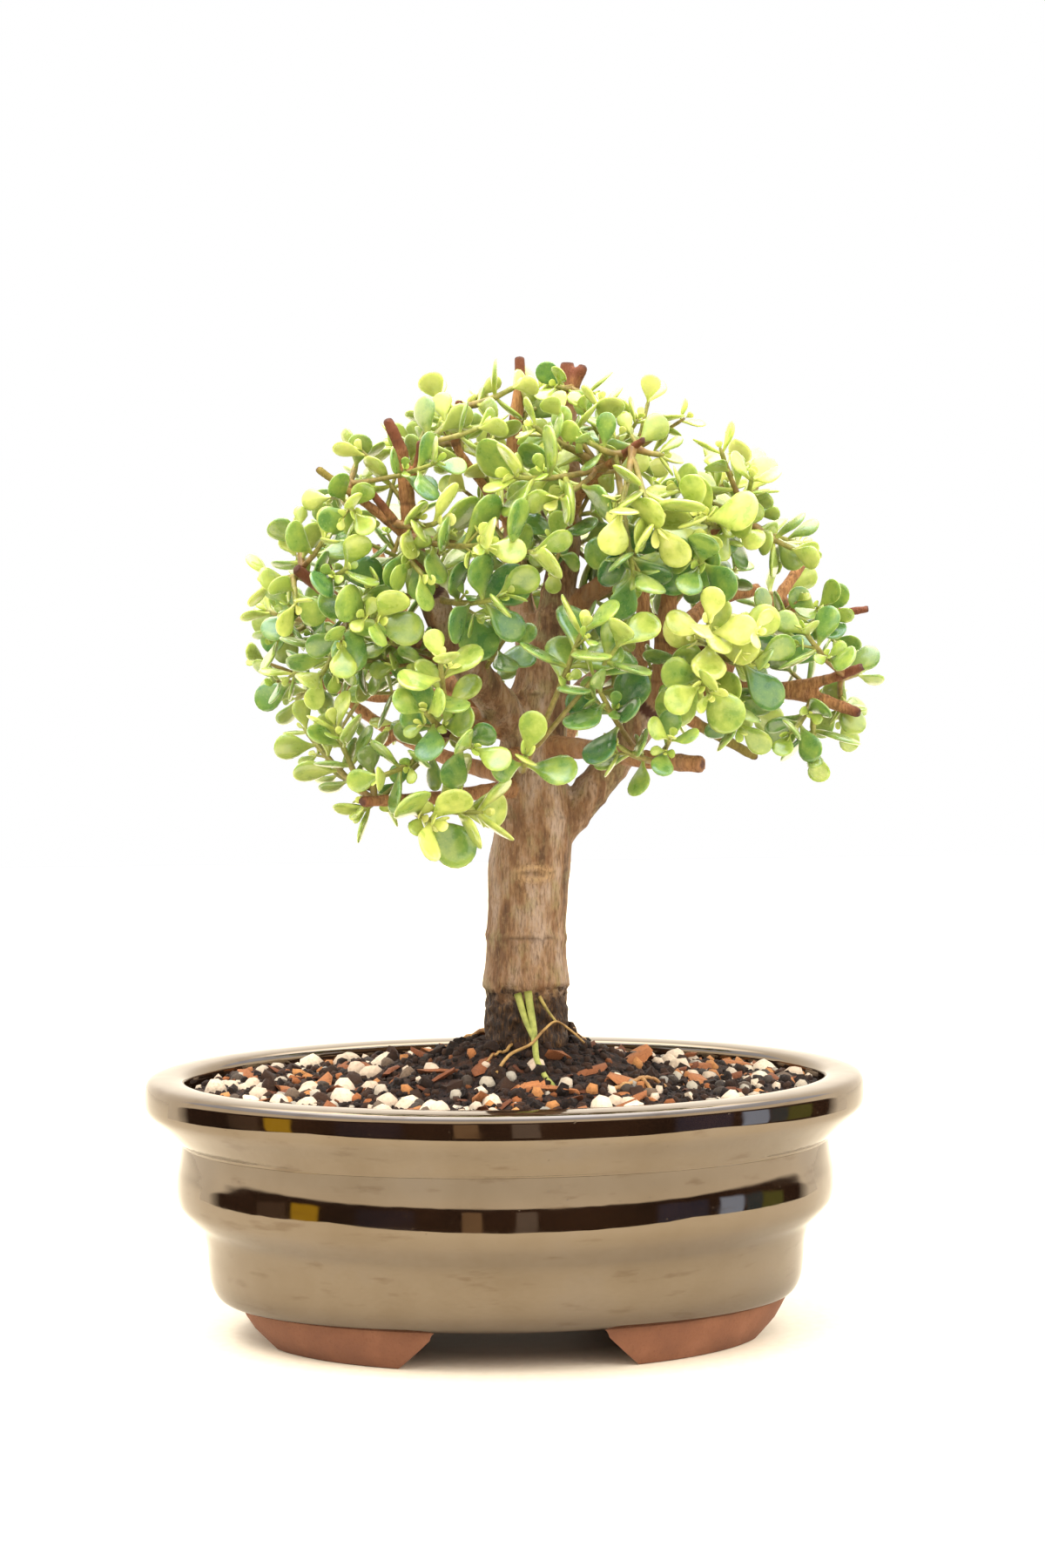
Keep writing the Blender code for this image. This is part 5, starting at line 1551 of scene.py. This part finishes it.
def make_spray(number, twigs, start, packed, leaf_skin, stem_skin):
    """One leafy spray: its twigs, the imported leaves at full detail, side shoots and young tips."""
    draw = random.Random(SEED * 100 + number)
    foliage = Foliage()
    age = draw.uniform(0.2, 0.48) + SPRAY_TONES.get(number + 1, 0.0)
    for order, twig in enumerate(twigs):
        lead = start if order == 0 else (twigs[0].rings[0][0] + twigs[0].rings[1][0]) / 2
        (points, faces), rings = twig_points(twig, lead)
        green = draw.uniform(0.1, 0.9)
        fresh = np.repeat(np.clip(green * 0.5 + np.linspace(0, 0.7, rings), 0, 1), FINE_TWIG_SIDES)
        foliage.add_shape(points, faces, 1, fresh=fresh)
        for leaf, pair in packed_leaves(twig, packed):
            tone = age + (TIP_TONE if pair == 0 else 0.0) + draw.uniform(-0.14, 0.14)
            foliage.add_leaf(leaf, tone, draw)
    for twig in twigs:
        place, ahead, _ = twig.rings[-1]
        turned = twig.outward(len(twig.rings) - 2, 1)
        size = twig.size * draw.uniform(0.26, 0.44)
        for leaf in young_pair(place, ahead, turned, size, draw, YOUNG_OPENING):
            foliage.add_leaf(leaf, min(1.0, age + draw.uniform(0.3, 0.5)), draw)
        for shoot in axil_shoots(twig, draw):
            grow_shoot(foliage, shoot, age, draw)
    name = f"leafy_spray_{number + 1:02d}"
    spray = make_mesh(name, [to_world(point) for point in foliage.points], foliage.faces,
                      [leaf_skin, stem_skin], slots=foliage.slots, values=foliage.values)
    face_outwards(spray)
    return settle(spray, "leaf", f"spray_{number + 1:02d}")


def fill_crown(spots, wood, leaf_skin, stem_skin):
    """Short leafy sprigs in the free room inside the crown, on the limbs between the larger sprays."""
    draw = random.Random(SEED * 31)
    foliage = Foliage()
    high = [spot for spot in spots if spot.z > FILL_FROM]
    top = [spot for spot in spots if spot.z > FILL_TOP]
    middle = Vector(CROWN_MIDDLE)
    grown = 0
    for _ in range(FILL_TRIES):
        if grown == FILL_SPRIGS:
            break
        start = draw.choice(top if draw.random() < FILL_TOP_SHARE else high)
        outward = (start - middle).normalized() + Vector([draw.gauss(0, 0.7) for _ in range(3)])
        outward.z += 0.35
        outward.normalize()
        depth = wood.ray_cast(start, outward)[3]
        if depth is None or depth > FILL_DEPTH:
            continue
        length = depth + draw.uniform(*FILL_REACH)
        tip = start + outward * length
        if wood.ray_cast(start + outward * (depth + 0.2), outward, length - depth + 5)[0]:
            continue
        if sum(((tip - middle)[axis] / CROWN_HALF[axis]) ** 2 for axis in range(3)) > 1:
            continue
        size = draw.uniform(*FILL_LEAF)
        path = twig_path(start, tip, (0, 0, 0))
        twig = Twig(path, depth - 0.4, FILL_RADII, FILL_PAIRS, FILL_KEY + grown, size)
        leaves = sprig_leaves(twig, wood)
        if len(leaves) < 3:
            continue
        grown += 1
        (points, faces), _ = twig_points(twig, start + outward * (depth - 1.0))
        foliage.add_shape(points, faces, 1, fresh=draw.uniform(0.3, 0.9))
        age = draw.uniform(0.1, 0.45) + 0.25 * (tip.z > LIGHT_ABOVE)
        for leaf, pair in leaves:
            tone = age + (TIP_TONE if pair == 0 else 0.0) + draw.uniform(-0.12, 0.12)
            foliage.add_leaf(leaf, tone, draw)
        turned = twig.outward(len(twig.rings) - 2, 1)
        for leaf in young_pair(tip, outward, turned, size * 0.36, draw, YOUNG_OPENING):
            foliage.add_leaf(leaf, min(1.0, age + 0.4), draw)
    sprigs = make_mesh("inner_sprigs", [to_world(point) for point in foliage.points], foliage.faces,
                       [leaf_skin, stem_skin], slots=foliage.slots, values=foliage.values)
    face_outwards(sprigs)
    return settle(sprigs, "leaf")


def sprig_leaves(twig, wood):
    """The leaves of a sprig that have free room, clear of other leaves and of the wood."""
    leaves = []
    for pair, choices in leaf_choices(twig, FILL_LEAF_TRIES):
        for leaf in choices:
            clear = 0.4 * leaf[3] + 1.4
            away = min(wood.find_nearest(leaf[0] + leaf[1] * leaf[3] * share)[3] for share in (0.6, 1.0))
            if away > FILL_CLEARANCE and CROWN.has_room(leaf, clear):
                leaves.append((leaf, pair))
                break
    return leaves


def make_foliage(leaf_skin, stem_skin):
    wood = wood_search()
    spots = limb_spots()
    for number in range(len(SPRAYS)):
        node = f"spray_{number + 1:02d}"
        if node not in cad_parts:
            continue
        packed = point_tree(plan_points(node))
        twigs, start = find_twigs(number, spots, wood, packed)
        if twigs:
            make_spray(number, twigs, start, packed, leaf_skin, stem_skin)
        else:
            print("no match for", node)
    fill_crown(spots, wood, leaf_skin, stem_skin)


def make_camera():
    turn, down, roll = (math.radians(angle) for angle in (CAMERA_TURN, CAMERA_DOWN, CAMERA_ROLL))
    right = Vector((math.cos(turn), math.sin(turn), 0))
    away = Vector((-math.sin(turn), math.cos(turn), 0))
    up = Vector((0, 0, 1))
    look = away * math.cos(down) - up * math.sin(down)
    lift = away * math.sin(down) + up * math.cos(down)
    across = right * math.cos(roll) + lift * math.sin(roll)
    over = lift * math.cos(roll) - right * math.sin(roll)
    matrix = Matrix((across, over, -look)).transposed().to_4x4()
    matrix.translation = to_world(right * CAMERA_ASIDE - away * CAMERA_AWAY + up * CAMERA_HEIGHT)
    data = bpy.data.cameras.new("photo_camera")
    data.sensor_fit = "VERTICAL"
    data.sensor_height = CAMERA_FRAME
    data.lens = CAMERA_LENS
    camera = bpy.data.objects.new("photo_camera", data)
    camera.matrix_world = matrix
    bpy.context.scene.collection.objects.link(camera)
    bpy.context.scene.camera = camera


def make_stage():
    """White paper that ends a little past the pot, so the glaze mirrors the dark room beyond it."""
    corners = [to_world((x, y, 0)) for x, y in PAPER_OUTLINE]
    floor = make_mesh("paper", corners, [list(range(len(corners)))], [paper_material()])


def patch_in_room(tree, azimuth, low, high, middle, half):
    """One at an azimuth in radians from straight ahead, between two heights, and zero elsewhere."""
    aside = calculate(tree, "ABSOLUTE", calculate(tree, "SUBTRACT", azimuth, middle), 0.0)
    near = spread(tree, aside, half, half * 1.25, 1.0, 0.0)
    return calculate(tree, "MULTIPLY", near, calculate(tree, "MULTIPLY", low, high))


def make_light():
    """A white tent all round, open low at the front to a dark room with a few bright things in it."""
    world = bpy.data.worlds.new("tent")
    bpy.context.scene.world = world
    world.use_nodes = True
    tree = world.node_tree
    tree.nodes.clear()
    way = add(tree, "ShaderNodeSeparateXYZ",
              {0: add(tree, "ShaderNodeTexCoord").outputs["Generated"]}).outputs
    forward = calculate(tree, "MULTIPLY", way["Y"], -1.0)
    azimuth = calculate(tree, "ARCTAN2", way["X"], forward)
    aside = calculate(tree, "DIVIDE", azimuth, ROOM_HALF)
    squared = calculate(tree, "MULTIPLY", aside, aside)
    rest = calculate(tree, "MAXIMUM", calculate(tree, "SUBTRACT", 1.0, squared), 0.0)
    arch = calculate(tree, "POWER", rest, 0.5)
    lintel = spread(tree, arch, 0.0, 1.0, ROOM_LOW, ROOM_HIGH)
    over = calculate(tree, "SUBTRACT", way["Z"], lintel)
    inside = spread(tree, squared, 0.84, 1.0, 1.0, 0.0)
    sky = ramp(tree, spread(tree, way["Z"], 0.0, 1.0),
               [(0.0, "#F0E4D0"), (0.35, "#F4EADA"), (1.0, "#FFF8EC")])
    room = ramp(tree, spread(tree, over, -0.35, 0.45), [
        (0.0, "#0B0807"), (0.43, "#140E0C"), (0.46, "#FFF2DC"), (0.78, "#F4EAD8"), (0.87, "#B4C4EC"),
        (0.97, "#D3DCF0")])
    low = spread(tree, way["Z"], *PATCH_FOOT)
    high = spread(tree, over, *PATCH_HEAD, 1.0, 0.0)
    for middle, half, colour in ROOM_PATCHES:
        room = mix_colour(tree, patch_in_room(tree, azimuth, low, high, middle, half), room, colour)
    mirrored_colour = mix_colour(tree, inside, sky, room)
    lit = calculate(tree, "MULTIPLY", spread(tree, way["Z"], *LAMP_HEIGHTS, 1.0, LAMP_GLARE), TENT_MIRRORED)
    rays = add(tree, "ShaderNodeLightPath").outputs
    soft_colour = ramp(tree, spread(tree, way["Z"], -0.2, 1.0), [
        (0.0, "#E8D6BA"), (0.5, "#F4E4CA"), (1.0, "#FFF3DE")])
    soft = add(tree, "ShaderNodeBackground", {"Color": soft_colour, "Strength": TENT_SOFT})
    mirrored = add(tree, "ShaderNodeBackground", {"Color": mirrored_colour, "Strength": lit})
    seen = add(tree, "ShaderNodeBackground", {"Color": (1, 1, 1, 1), "Strength": 1.0})
    first = add(tree, "ShaderNodeMixShader", {
        0: rays["Is Glossy Ray"], 1: soft.outputs[0], 2: mirrored.outputs[0]})
    both = add(tree, "ShaderNodeMixShader",
               {0: rays["Is Camera Ray"], 1: first.outputs[0], 2: seen.outputs[0]})
    add(tree, "ShaderNodeOutputWorld", {"Surface": both.outputs[0]})
    for name, place, size, power in LAMPS:
        data = bpy.data.lights.new(name, "AREA")
        data.shape = "DISK"
        data.size = size
        data.energy = power
        data.color = linear("#FFF1D8")[:3]
        lamp = bpy.data.objects.new(name, data)
        lamp.location = to_world(place)
        lamp.rotation_euler = (to_world(LAMP_AIM) - lamp.location).to_track_quat("-Z", "Y").to_euler()
        lamp.visible_camera = False
        lamp.visible_glossy = False
        bpy.context.scene.collection.objects.link(lamp)
    bpy.context.scene.view_settings.view_transform = "Standard"


def main():
    make_camera()
    make_stage()
    make_light()
    make_pot(glaze_material(), terracotta_material())
    make_soil(soil_material())
    make_grit()
    make_wood(bark_material())
    make_roots(root_material())
    make_foliage(leaf_material(), stem_material())
    net = net_material()
    for name in ("drain_screen_1", "drain_screen_2"):
        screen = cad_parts[name]
        screen.data.materials.clear()
        screen.data.materials.append(net)


main()
